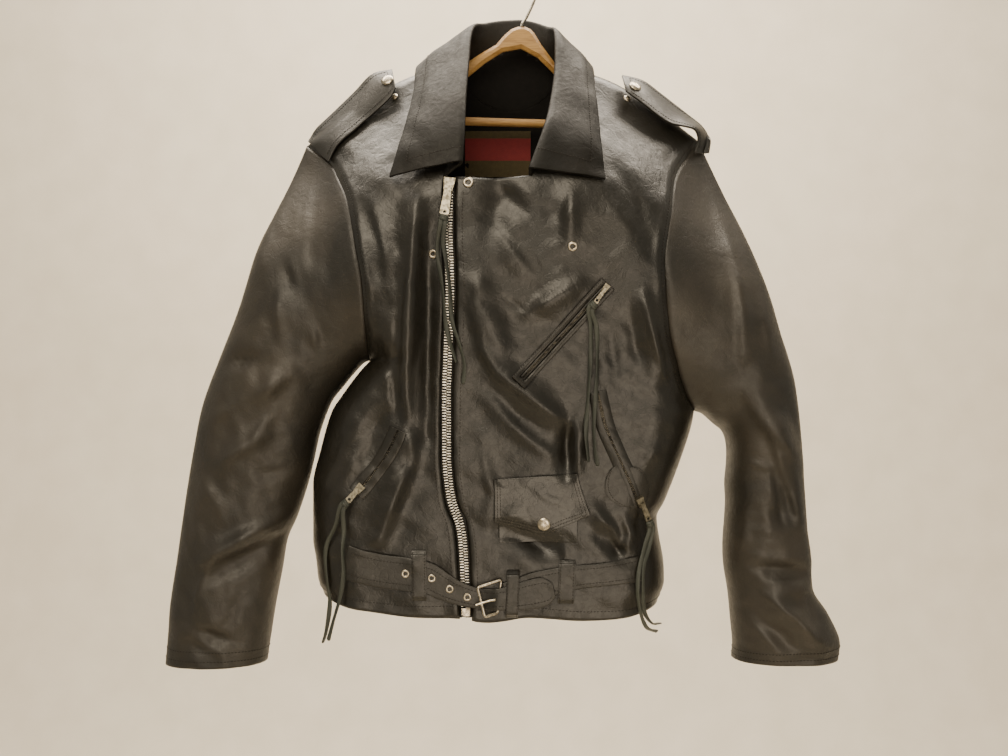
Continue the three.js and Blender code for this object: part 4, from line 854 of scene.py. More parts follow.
# ---------------------------------------------------------------- camera and light
@dataclass
class Studio:
    """Camera, lights and a pale floor that sweeps up into a wall."""

    eye: tuple[float, float, float] = (-20.4, -1500.0, -491.0)
    pixels: float = 1250.0
    width: float = 1008.0
    floor_drop: float = -2150.0

    def make_camera(self) -> None:
        """Makes the level camera that looks along +Y."""
        data = bpy.data.cameras.new("camera")
        data.sensor_width = 36.0
        data.lens = self.pixels * 36.0 / self.width
        camera = bpy.data.objects.new("camera", data)
        camera.location = Vector(self.eye) * MM
        camera.rotation_euler = (math.radians(90), 0, 0)
        bpy.context.scene.collection.objects.link(camera)
        bpy.context.scene.camera = camera

    def make_rest(self) -> None:
        """Makes the world, the lights and the floor."""
        world = bpy.data.worlds.new("studio")
        world.use_nodes = True
        sky = world.node_tree.nodes["Background"]
        sky.inputs["Color"].default_value = linear(0xD6CDBB)
        sky.inputs["Strength"].default_value = 0.62
        bpy.context.scene.world = world
        for name, place, size, power, code, look in (
                ("key", (-500, -1700, 800), 1.5, 38, 0xFFEFD4, None),
                ("fill", (300, -1700, -950), 1.1, 11, 0xFFEBCF, None),
                ("top", (-100, 200, 1100), 1.2, 14, 0xFFF6E8, None),
                ("back", (-300, 1500, 500), 1.2, 16, 0xFFF6E8, None),
                ("wash", (0, 900, 1500), 2.2, 210, 0xFFF1DD, (0, 2900, -700))):
            data = bpy.data.lights.new(name, "AREA")
            data.size = size
            data.energy = power
            data.color = linear(code)[:3]
            lamp = bpy.data.objects.new(name, data)
            lamp.location = Vector(place) * MM
            aim = Vector(look or (0, 0, -420)) * MM - lamp.location
            lamp.rotation_euler = aim.to_track_quat("-Z", "Y").to_euler()
            bpy.context.scene.collection.objects.link(lamp)
        x, run = np.meshgrid(np.linspace(-4200, 4200, 29), np.linspace(0, 1, 81), indexing="ij")
        sweep = Path([(-3600, self.floor_drop), (0, self.floor_drop), (1700, self.floor_drop + 20),
                      (2500, self.floor_drop + 420), (2850, self.floor_drop + 1250), (2900, 0), (2900, 2200)]).even(run)
        floor = grid_object("floor", np.stack([x, sweep[..., 0], sweep[..., 1]], axis=2),
                            Plain("painted_floor", 0xD9D1C1, 0xD2CAB9).make(), outward=(0, -0.5, 1))


# ---------------------------------------------------------------- thongs
@dataclass
class Pull:
    """Place of a zip's pull tab: hinge, axis across it, axis down it, outward, and its length."""

    hinge: tuple[float, float, float]
    across: tuple[float, float, float]
    down: tuple[float, float, float]
    length: float
    body: str

    def point(self, across: float, down: float, out: float = 0.0) -> Array:
        """Finds a point on the tab.

        Args:
            across: Distance along the hinge.
            down: Distance down the tab.
            out: Distance outward.

        Returns:
            The point.
        """
        x, y = np.array(self.across), np.array(self.down)
        return np.array(self.hinge) + x * across + y * down + np.cross(x, y) * out


PULLS = {
    "main": Pull((-80.78, -137.113, -279.767), (-0.9902, 0.07241, 0.1194),
                 (-0.1316, -0.19791, -0.97135), 36, "pull_main"),
    "chest": Pull((90.187, -139.394, -393.388), (-0.81212, -0.06562, 0.57978),
                  (-0.5832, 0.06009, -0.81011), 20, "pull_chest"),
    "left": Pull((132.565, -117.286, -629.81), (-0.84499, -0.27, -0.46162),
                 (0.35927, 0.35279, -0.86398), 24, "pull_left"),
    "right": Pull((-181.418, -121.96, -614.086), (-0.74789, 0.10194, 0.65595),
                  (-0.6622, -0.04546, -0.74795), 18, "pull_right"),
}


@dataclass
class Thong:
    """Flat leather thong knotted through a zip's tab; route is x, z and distance off the front."""

    name: str
    pull: str
    side: int
    route: tuple[tuple[float, float, float], ...]
    width: float = 5.0
    thick: float = 2.0

    def make(self, body: "Body", finishes: Finishes) -> bpy.types.Object:
        """Args:
            body: The jacket's body, on which it lies.
            finishes: The materials.

        Returns:
            The thong.
        """
        pull = PULLS[self.pull]
        shift = self.side * 2.3
        points = [pull.point(shift, pull.length + 0.6), pull.point(shift, pull.length + 8)]
        for x, z, off in self.route:
            on_panel = max(z, float(body.hem.at(x)) + 4)
            points.append(np.array([x, float(body.front_plain(x, on_panel)) - off, z]))
        path = Path(points)
        count = 90
        t = np.linspace(0, 1, count)
        line = path.even(t)
        turn = 0.9 * np.sin(2.2 * math.pi * t + self.side) * np.clip(t * 3, 0, 1)
        wide = np.stack([np.cos(turn), np.sin(turn), np.zeros(count)], axis=1)
        half = np.full(count, self.width / 2) * (1 + 0.06 * np.sin(17 * t + self.side))
        thick = np.full(count, self.thick / 2)
        half[[0, -1]] *= 0.6
        thick[[0, -1]] *= 0.6
        grid = ribbon_tube(line, wide, half, thick)
        strap = grid_object(self.name, grid, finishes.thong, wraps=True)
        self.close_ends(strap)
        attach(strap, "thong_leather", self.name)
        return strap

    @staticmethod
    def close_ends(strap: bpy.types.Object) -> None:
        """Fills the two cut ends.

        Args:
            strap: The thong.
        """
        bm = bmesh.new()
        bm.from_mesh(strap.data)
        bmesh.ops.holes_fill(bm, edges=[e for e in bm.edges if e.is_boundary], sides=0)
        bmesh.ops.recalc_face_normals(bm, faces=bm.faces)
        bm.to_mesh(strap.data)
        bm.free()


THONGS = (
    Thong("thong_main_a", "main", 1, ((-92.5, -342, 7), (-93, -356, 4.5), (-90, -376, 4), (-87, -400, 4),
                                      (-85, -425, 4), (-81, -447, 4), (-72.5, -474, 4))),
    Thong("thong_main_b", "main", -1, ((-86.5, -343, 8), (-84, -360, 6), (-80.5, -385, 5), (-77, -430, 4.5),
                                       (-70, -452, 4), (-64, -476, 4), (-65.5, -498, 4))),
    Thong("thong_chest_a", "chest", 1, ((74.5, -434, 6), (74.5, -470, 4.5), (73, -500, 4), (71, -530, 4),
                                        (70, -552, 4), (73, -584, 4))),
    Thong("thong_chest_b", "chest", -1, ((80.5, -434, 6.5), (82, -480, 4.5), (80, -515, 7), (78.5, -545, 7),
                                         (80, -570, 7), (83, -588, 6))),
    Thong("thong_left_a", "left", 1, ((137, -676, 10), (129, -706, 8.5), (127.5, -728, 9), (131, -750, 9),
                                      (139, -770, 4), (156, -783, -2))),
    Thong("thong_left_b", "left", -1, ((142, -678, 10), (135, -700, 9), (134, -724, 9), (136.5, -752, 6),
                                       (146, -768, 0), (163, -779, -6))),
    Thong("thong_right_a", "right", 1, ((-207, -654, 6.5), (-218, -676, 4), (-221, -692, 4), (-219, -722, 4),
                                        (-217, -744, 4), (-222, -778, 6), (-227, -793, 8))),
    Thong("thong_right_b", "right", -1, ((-197.5, -662, 6), (-199, -682, 7.5), (-198, -708, 8.5),
                                         (-202, -732, 8), (-211, -762, 10), (-218, -786, 12))),
)


@dataclass
class Knot:
    """Knot of a thong at its tab's hole: two turns side by side."""

    pull: str
    radius: float = 3.4
    strand: float = 1.5

    def make(self, finishes: Finishes) -> bpy.types.Object:
        """Builds the knot.

        Args:
            finishes: The materials.

        Returns:
            The knot, which rides on the tab.
        """
        pull = PULLS[self.pull]
        t = np.linspace(0, 1, 61)
        turn = math.tau * 2 * t
        line = np.array([pull.point(self.radius * math.cos(a), pull.length + 3.2 + 2.6 * (share - 0.5) * 2,
                                    self.radius * 0.75 * math.sin(a)) for a, share in zip(turn, t)])
        wide = np.tile(np.array(pull.down), (len(t), 1))
        size = np.full(len(t), self.strand)
        grid = ribbon_tube(line, wide, size * 1.35, size * 0.85)
        piece = grid_object(f"thong_{self.pull}_knot", grid, finishes.thong, wraps=True)
        Thong.close_ends(piece)
        return attach(piece, "thong_leather", body=pull.body)


# ---------------------------------------------------------------- the body's form
@dataclass
class Body:
    """Form of the jacket's body: fronts and back as depth over height and width."""

    rows: int = 22
    side_rows: int = 12
    zip_rows: int = 15
    seam: float = 0.3
    ridge: float = 14.0
    zip_edge: float = 6.5
    row_bend: float = 1.45

    def __post_init__(self) -> None:
        """Fills the tables."""
        self.shoulder = Table([(-256, -214), (-215, -181), (-180, -154), (-149, -137), (-120, -125), (-78, -113),
                               (-20, -106), (52, -113), (83, -125.5), (119, -141), (165, -171), (212, -208)])
        self.hem = Table([(-232, -738), (-205, -745), (-177, -750), (-123, -757), (-68, -759), (-40, -763),
                          (8, -758), (71, -761), (117, -758), (140, -753), (160, -748)])
        self.depth = Table([(-100, 0, -70, 24), (-180, -3, -100, 27), (-270, -12, -130, 28), (-340, -20, -132, 28),
                            (-430, -28, -126, 28), (-550, -36, -118, 27), (-650, -38, -113, 26),
                            (-770, -38, -111, 24)])
        self.zip_line = Table([(-772, -62.5), (-750, -63), (-700, -64.6), (-673, -66.3), (-651, -69.6), (-634, -77),
                               (-612, -81.2), (-576, -84), (-515, -84), (-454, -81.8), (-388, -79.7),
                               (-324, -81.7), (-272, -80.2)])
        self.back_neck = Table([(-79, -114), (-66, -136), (-45, -156), (-14, -166), (18, -158), (40, -138),
                                (53, -114)])
        right = [(-214, -256, 2), (-242, -222, 24), (-263, -210, 36), (-290, -197, 44), (-319, -189, 48),
                 (-354, -182, 48), (-380, -177, 46), (-420, -175, 34), (-450, -174.5, 17), (-470, -176, 0)]
        left = [(-208, 212, 2), (-222, 201, 12), (-258, 177, 34), (-306, 166, 46), (-353, 157, 48), (-387, 157, 46),
                (-442, 163, 36), (-471, 171, 26), (-496, 179.5, 16), (-517, 190, 8), (-529, 201, 0)]
        self.armhole = {Side.RIGHT: Table(right), Side.LEFT: Table(left)}
        self.armhole_path = {Side.RIGHT: Path([(x, z) for z, x, _ in right[::-1]]),
                             Side.LEFT: Path([(x, z) for z, x, _ in left[::-1]])}
        self.side = {
            Side.RIGHT: Table([(-470, -176), (-484, -189), (-511, -209), (-530, -221), (-575, -234),
                               (-615, -242.5), (-677, -242.5), (-700, -239), (-725, -236), (-738, -230)]),
            Side.LEFT: Table([(-529, 201), (-545, 198), (-565, 192), (-603, 178.5), (-634, 166), (-652, 157.5),
                              (-673, 160), (-701, 165), (-725, 166), (-748, 158)]),
        }
        self.armpit = {Side.RIGHT: -470.0, Side.LEFT: -529.0}
        self.side_hem = {Side.RIGHT: -738.0, Side.LEFT: -748.0}
        self.neckline = {
            Side.RIGHT: Path([(-86.7, -270), (-82, -252), (-77, -215), (-76, -170), (-78, -135), (-79, -114)]),
            Side.LEFT: Path([(8, -269), (20, -246), (34, -205), (46, -160), (52, -127), (53, -114)]),
        }
        self.free_edge = Path([(-73.7, -270), (-34, -272), (8, -269)])
        self.free_rows = {Side.RIGHT: 0, Side.LEFT: 2}
        self.front_folds = (
            fold(-120, -300, -126, -560, 13, 9), fold(-103, -330, -108, -560, 9, -6),
            fold(-128, -566, -160, -668, 13, 8), fold(-150, -520, -185, -600, 18, -8),
            fold(-50, -390, -18, -486, 15, 8), fold(-12, -492, 44, -540, 13, 8),
            fold(-25, -280, -30, -330, 16, -8),
            fold(54, -300, 50, -340, 10, 6), fold(10, -420, 62, -392, 14, 6), fold(50, -540, 50, -596, 10, -8),
            fold(61, -540, 60, -600, 8, 5), fold(132, -405, 152, -490, 12, 7),
            fold(-20, -660, 40, -682, 14, -7),
            fold(88, -650, 112, -690, 14, -7), fold(80, -640, 100, -668, 9, 6))
        self.back_folds = (
            fold(-150, -250, -120, -420, 16, -5), fold(110, -260, 90, -450, 15, -6),
            fold(-60, -520, -130, -640, 18, 5), fold(40, -560, 110, -660, 17, 5))
        self.front_creases = (
            Crease(((-115, -298), (-122, -371), (-128, -426), (-130, -517)), 7, 4.0, 0.35),
            Crease(((-108, -426), (-119, -481), (-119, -547)), 5, -3.5, -0.3),
            Crease(((-122, -559), (-122, -587), (-131, -600), (-153, -655), (-159, -671)), 6, 4.0, 0.3),
            Crease(((-100, -405), (-105, -471), (-104, -559)), 5, -2.5),
            Crease(((-142, -394), (-148, -471), (-144, -537)), 8, 3.0, -0.3),
            Crease(((-164, -455), (-146, -484), (-137, -537)), 6, -3.5, 0.3),
            Crease(((-176, -560), (-196, -600), (-214, -622)), 7, 3.0, 0.3),
            Crease(((-200, -550), (-222, -590)), 8, -3.0),
            Crease(((-49, -390), (-55, -417), (-44, -462), (-29, -487), (7, -514), (44, -536)), 6, 4.5, 0.4),
            Crease(((-26, -530), (16, -564), (29, -571)), 6, 3.5, -0.3),
            Crease(((-34, -505), (-6, -532), (26, -548)), 6, -2.8),
            Crease(((53, -289), (49, -322)), 6, 3.0), Crease(((7, -419), (62, -390)), 6, 3.5, 0.3),
            Crease(((-19, -405), (0, -415), (19, -396)), 4, -2.5),
            Crease(((-29, -279), (-8, -298), (7, -317)), 9, -3.5),
            Crease(((50, -542), (50, -592)), 4, -3.5, 0.3), Crease(((59, -542), (60, -592)), 4, 3.0),
            Crease(((132, -403), (142, -440), (156, -488)), 6, 4.0, 0.3),
            Crease(((118, -420), (128, -470)), 7, -2.5),
            Crease(((-30, -659), (0, -668), (24, -682)), 6, -3.0), Crease(((46, -675), (48, -693)), 5, 2.5),
            Crease(((85, -645), (101, -659), (109, -683)), 5, 4.0, 0.3),
            Crease(((114, -645), (121, -665), (112, -689)), 6, 4.0),
            Crease(((105, -678), (111, -690)), 7, -6.0),
            Crease(((-46, -560), (-34, -620), (-40, -650)), 7, 2.2, 0.3),
            Crease(((-30, -330), (-12, -352), (6, -372)), 7, 2.4, -0.3),
            Crease(((92, -300), (120, -330)), 8, 2.6, 0.3),
            Crease(((100, -250), (128, -300), (140, -350)), 9, -2.6),
            Crease(((-140, -230), (-128, -290)), 9, -2.8),
            Crease(((-165, -300), (-150, -350), (-148, -390)), 8, 2.8, 0.3),
            Crease(((96, -440), (104, -500)), 7, -2.4),
            Crease(((152, -560), (138, -590)), 6, 2.6), Crease(((-215, -660), (-190, -672)), 6, -2.4),
            Ripple(3, 64, 0.9), Ripple(11, 27, 0.5), Ripple(12, 13, 0.12))
        self.back_creases = (
            Crease(((-150, -260), (-132, -330), (-120, -430)), 7, -3.2, 0.3),
            Crease(((-96, -250), (-84, -340)), 9, 3.0),
            Crease(((112, -262), (104, -340), (90, -455)), 7, -3.4, -0.3),
            Crease(((60, -300), (58, -400)), 9, 2.8),
            Crease(((-20, -230), (-28, -330), (-10, -420)), 10, -2.4),
            Crease(((-62, -520), (-96, -580), (-132, -642)), 7, 3.6, 0.3),
            Crease(((-30, -560), (-70, -640)), 8, -2.8),
            Crease(((38, -560), (70, -600), (112, -662)), 7, 3.6, -0.3),
            Crease(((10, -600), (54, -672)), 7, -3.0), Crease(((-190, -560), (-150, -600)), 7, 3.0),
            Crease(((140, -540), (104, -580)), 7, 2.8), Crease(((-120, -690), (-40, -700)), 8, 2.6, 0.3),
            Crease(((20, -700), (110, -690)), 8, 2.4), Ripple(21, 70, 1.0), Ripple(22, 30, 0.4))

    def edge(self, side: Side, z: Array) -> Array:
        """Finds the rounded body's edge.

        Args:
            side: Which side.
            z: Height.

        Returns:
            The edge's x.
        """
        above = self.armhole[side].at(z) + side.value * self.armhole[side].at(z, 1)
        return np.where(z <= self.armpit[side], self.side[side].at(z), above)

    def fullness(self, x: Array, z: Array, depth: Array, slope_height: Array, side_round: float) -> Array:
        """Finds the share of the full depth reached.

        Args:
            x: Place.
            z: Place.
            depth: Full depth there.
            slope_height: Fall over which the full depth is reached.
            side_round: Width over which the sides turn.

        Returns:
            The share, none at the shoulder line and the sides.
        """
        below = np.maximum(0, self.shoulder.at(x) - z)
        ridge = np.minimum(1, self.ridge / depth)
        slope = np.sin(math.pi / 2 * np.clip(below / slope_height, 0, 1))
        top = ridge * arch(below / self.ridge) + (1 - ridge) * slope
        inside = np.minimum(x - self.edge(Side.RIGHT, z), self.edge(Side.LEFT, z) - x)
        return top * arch(inside / side_round)

    def front(self, x: Array, z: Array, parts: Optional[Sequence] = None) -> Array:
        """Finds the front's outer surface.

        Args:
            x: Place.
            z: Place.
            parts: Folds on it; all of them if none are named.

        Returns:
            Its y.
        """
        x, z = np.asarray(x, float), np.asarray(z, float)
        parts = self.front_folds + self.front_creases if parts is None else parts
        mid = self.depth.at(z)
        depth = mid - self.depth.at(z, 1)
        slope = 170 + 110 * ((x + 15) / 220) ** 2
        full = self.fullness(x, z, depth, slope, 58)
        return mid - self.seam / 2 - full * (depth + heights(parts, x, z))

    def front_plain(self, x: Array, z: Array) -> Array:
        """Finds the front with its large folds only.

        Args:
            x: Place.
            z: Place.

        Returns:
            Its y.
        """
        return self.front(x, z, self.front_folds)

    def back(self, x: Array, z: Array, parts: Optional[Sequence] = None) -> Array:
        """Finds the back's outer surface.

        Args:
            x: Place.
            z: Place.
            parts: Folds on it; all of them if none are named.

        Returns:
            Its y.
        """
        x, z = np.asarray(x, float), np.asarray(z, float)
        parts = self.back_folds + self.back_creases if parts is None else parts
        mid = self.depth.at(z)
        depth = self.depth.at(z, 2) - mid
        full = self.fullness(x, z, depth, 80, 45)
        return mid + self.seam / 2 + full * (depth + heights(parts, x, z))

    def laid(self, x: Array, z: Array, off: Array) -> Array:
        """Places points at a distance off the front.

        Args:
            x: Place.
            z: Place.
            off: Distance toward -Y.

        Returns:
            The points.
        """
        x, z = np.asarray(x, float), np.asarray(z, float)
        y = np.minimum(self.front(x, z), self.front_plain(x, z)) - off
        return np.stack([x, y, z], axis=-1)

    def front_normal(self, x: Array, z: Array) -> Array:
        """Finds the front's outward normal.

        Args:
            x: Place.
            z: Place.

        Returns:
            Unit normals.
        """
        x, z = np.asarray(x, float), np.asarray(z, float)
        step = 5.0
        dx = np.clip((self.front_plain(x + step, z) - self.front_plain(x - step, z)) / (2 * step), -1.5, 1.5)
        dz = np.clip((self.front_plain(x, z + step) - self.front_plain(x, z - step)) / (2 * step), -1.5, 1.5)
        return unit(np.stack([dx, -np.ones_like(dx), dz], axis=-1))

    def stitches(self, line: Array, spacing: float) -> Array:
        """Spaces stitches along a line on a piece that is laid on the front.

        Args:
            line: Points of the line.
            spacing: Distance between stitches.

        Returns:
            Their frames.
        """
        up = self.front_normal(line[:, 0], line[:, 2])
        return frames_along(line + up * STITCH_RISE, up, spacing)

    def side_border(self, side: Side, row: Array) -> Array:
        """Follows a panel's side: side seam, then armhole.

        Args:
            side: Which side.
            row: From 0 at the hem to the last row at the shoulder.

        Returns:
            Points (x, z).
        """
        row = np.asarray(row, float)
        z = mix(self.side_hem[side], self.armpit[side], np.minimum(row / self.side_rows, 1))
        low = np.stack([self.side[side].at(z), z], axis=-1)
        even = np.clip((row - self.side_rows) / (self.rows - self.side_rows), 0, 1)
        high = self.armhole_path[side].even(mix(even, 0.5 - 0.5 * np.cos(np.pi * even), 0.85))
        return np.where((row < self.side_rows)[..., None], low, high)

    def zip_border(self, side: Side, row: Array) -> Array:
        """Follows a front's inner border: zip, free edge, neckline.

        Args:
            side: Which front.
            row: From 0 at the hem to the last row at the neck point.

        Returns:
            Points (x, z).
        """
        row = np.asarray(row, float)
        free = self.free_rows[side]
        foot = float(self.hem.at(-63 + side.value * self.zip_edge))
        z = mix(foot, -270.0, np.minimum(row / self.zip_rows, 1))
        low = np.stack([self.zip_line.at(z) + side.value * self.zip_edge, z], axis=-1)
        start = self.zip_rows + free
        high = self.neckline[side].even(np.clip((row - start) / (self.rows - start), 0, 1))
        result = np.where((row <= self.zip_rows)[..., None], low, high)
        if free:
            edge = self.free_edge.even(np.clip((row - self.zip_rows) / free, 0, 1))
            on_edge = (row > self.zip_rows) & (row <= start)
            result = np.where(on_edge[..., None], edge, result)
        return result

    def front_xz(self, side: Side, share: Array, row: Array) -> tuple[Array, Array]:
        """Places a front's grid.

        Args:
            side: Which front.
            share: From 0 at the side to 1 at the zip.
            row: Row, from 0 at the hem.

        Returns:
            x and z.
        """
        def place(at: Array) -> tuple[Array, Array]:
            """Spreads points between the borders at a row."""
            outer, inner = self.side_border(side, at), self.zip_border(side, at)
            down = share ** self.row_bend
            return mix(outer[..., 0], inner[..., 0], share), mix(outer[..., 1], inner[..., 1], down)

        t = row / self.rows
        x, z = place(row)
        low_x, low_z = place(np.zeros_like(row))
        high_x, high_z = place(np.full_like(row, self.rows))
        z = z + (self.hem.at(low_x) - low_z) * (1 - t) ** 4 + (self.shoulder.at(high_x) - high_z) * t ** 4
        return x, z

    def back_xz(self, share: Array, row: Array) -> tuple[Array, Array]:
        """Places the back's grid.

        Args:
            share: From 0 at the right side to 1 at the left.
            row: Row, from 0 at the hem.

        Returns:
            x and z.
        """
        t = row / self.rows
        right, left = self.side_border(Side.RIGHT, row), self.side_border(Side.LEFT, row)
        tip_r = self.side_border(Side.RIGHT, np.full_like(row, self.rows))
        tip_l = self.side_border(Side.LEFT, np.full_like(row, self.rows))
        high = mix(tip_r, tip_l, share[..., None])
        on_neck = (high[..., 0] > -78.9) & (high[..., 0] < 52.9)
        top = np.where(on_neck, self.back_neck.at(high[..., 0]), self.shoulder.at(high[..., 0]))
        x = mix(right[..., 0], left[..., 0], share)
        z = mix(right[..., 1], left[..., 1], share) + (top - high[..., 1]) * t ** 3
        return x, z


def stitch_template() -> bmesh.types.BMesh:
    """Makes one stitch lying along y.

    Returns:
        A capsule, in mm.
    """
    bm = bmesh.new()
    bmesh.ops.create_uvsphere(bm, u_segments=6, v_segments=5, radius=1.0)
    bmesh.ops.scale(bm, vec=(0.42, 1.45, 0.32), verts=bm.verts)
    bmesh.ops.rotate(bm, cent=(0, 0, 0), matrix=Matrix.Rotation(0.12, 3, "Z"), verts=bm.verts)
    return bm


def tooth_template(width: float, pitch: float, depth: float) -> bmesh.types.BMesh:
    """Makes one zip tooth reaching along +x from the tape to past the middle.

    Args:
        width: Reach of the tooth.
        pitch: Distance between the teeth of one side.
        depth: Height of the tooth.

    Returns:
        The tooth, in mm.
    """
    bm = bmesh.new()
    bmesh.ops.create_cube(bm, size=1.0)
    bmesh.ops.scale(bm, vec=(width, pitch * 0.44, depth), verts=bm.verts)
    for vertex in bm.verts:
        if vertex.co.x > 0:
            vertex.co.y *= 1.15
            vertex.co.z *= 0.86
    bmesh.ops.bevel(bm, geom=bm.edges[:] + bm.verts[:], offset=pitch * 0.12, segments=2,
                    affect="EDGES", profile=0.6)
    return bm


@dataclass
class Panels:
    """The two fronts and the back, with the stitching along their seams."""

    wall: float = 2.0
    stitch: float = 3.9

    def make(self, body: Body, finishes: Finishes) -> list[Array]:
        """Builds the panels.

        Args:
            body: Their form.
            finishes: The materials.

        Returns:
            Stitch frames.
        """
        self.seams: list[Array] = []
        row = np.linspace(0, body.rows, body.rows * 7 + 1)
        for side, name, columns in ((Side.RIGHT, "front_right", 67), (Side.LEFT, "front_left", 91)):
            share, at = np.meshgrid(np.linspace(0, 1, columns) ** 1.55, row, indexing="ij")
            x, z = body.front_xz(side, share, at)
            points = np.stack([x, body.front(x, z), z], axis=-1)
            self.dip(points, at, body, side)
            piece = grid_object(name + "_leather", points, finishes.body, thickness=self.wall,
                                outward=(0, -1, 0), lining_and_shade=finishes.lining_and_shade)
            attach(piece, "leather", name)
            declare_cut(piece, points)
            normals = grid_normals(points)
            normals *= np.sign(-normals[columns // 2, 20, 1])
            self.sew(points, normals, body)
        columns = 121
        swing = np.cos(np.pi * np.arange(columns) / (columns - 1))
        shares = 0.5 - 0.5 * swing * (0.55 + 0.45 * np.abs(swing))
        top_row = np.array(float(body.rows))
        tips = [float(body.side_border(side, top_row)[0]) for side in (Side.RIGHT, Side.LEFT)]
        for neck in (-79, 53):
            target = (neck - tips[0]) / (tips[1] - tips[0])
            shares[np.argmin(np.abs(shares - target))] = target
        share, at = np.meshgrid(shares, np.linspace(0, body.rows, body.rows * 6 + 1), indexing="ij")
        x, z = body.back_xz(share, at)
        points = np.stack([x, body.back(x, z), z], axis=-1)
        piece = grid_object("back_leather", points, finishes.body, thickness=self.wall, outward=(0, 1, 0),
                            lining_and_shade=finishes.lining_and_shade)
        attach(piece, "leather", "back")
        declare_cut(piece, points)
        normals = grid_normals(points)
        normals *= np.sign(normals[columns // 2, 20, 1])
        for line in (points[5], points[-6], points[5:-5, 4]):
            where = normals[5] if line is points[5] else normals[-6]
            where = normals[5:-5, 4] if line.shape[0] != points.shape[1] else where
            self.seams.append(frames_along(line + where * 0.2, where, self.stitch))
        return self.seams

    @staticmethod
    def dip(points: Array, row: Array, body: Body, side: Side) -> None:
        """Draws a panel in beside its seams and rolls its zip edge.

        Args:
            points: The panel's points, changed in place.
            row: Rows.
            body: The body's form.
            side: Which front.
        """
        edge = body.side_border(side, row)
        away = np.hypot(points[..., 0] - edge[..., 0], points[..., 2] - edge[..., 1])
        above = np.clip((row - body.side_rows) / 2, 0, 1)
        points[..., 1] += above * 1.2 * np.exp(-((away / 3.5) ** 2))
        points[..., 1] -= above * 0.9 * np.exp(-(((away - 9) / 5) ** 2))
        inner = body.zip_border(side, row)
        near = np.hypot(points[..., 0] - inner[..., 0], points[..., 2] - inner[..., 1])
        roll = np.clip((body.zip_rows - row) * 2, 0, 1)
        points[..., 1] += roll * 1.3 * np.exp(-((near / 2.0) ** 2))
        points[..., 1] -= roll * 0.8 * np.exp(-(((near - 5) / 3.5) ** 2))

    def sew(self, points: Array, normals: Array, body: Body) -> None:
        """Adds a front's stitch lines: armhole, zip edge and hem.

        Args:
            points: The panel's points.
            normals: Their outward normals.
            body: The body's form.
        """
        rows = points.shape[1]
        arm = slice(int(rows * body.side_rows / body.rows) + 4, rows - 3)
        zip_run = slice(3, int(rows * body.zip_rows / body.rows) - 2)
        for column, span in ((8, arm), (-3, zip_run)):
            line, up = points[column, span], normals[column, span]
            self.seams.append(frames_along(line + up * 0.25, up, self.stitch))
        line, up = points[3:-2, 3], normals[3:-2, 3]
        self.seams.append(frames_along(line + up * 0.25, up, self.stitch))


def declare_cut(piece: bpy.types.Object, points: Array) -> None:
    """Logs the flat size that a cloth piece was cut to.

    Args:
        piece: The piece.
        points: Its grid, in mm.
    """
    wide = float(np.max(np.linalg.norm(np.diff(points, axis=0), axis=2).sum(axis=0))) * MM
    tall = float(np.max(np.linalg.norm(np.diff(points, axis=1), axis=2).sum(axis=1))) * MM
    a, b = np.diff(points[:, :-1], axis=0), np.diff(points[:-1], axis=1)
    area = float(np.linalg.norm(np.cross(a, b), axis=2).sum()) * MM * MM
    area = min(max(area, LEAST_SHARE * wide * tall), wide * tall)
    LOG.info("%s is cut %.3f by %.3f m, %.4f m2", piece.name, wide, tall, area)


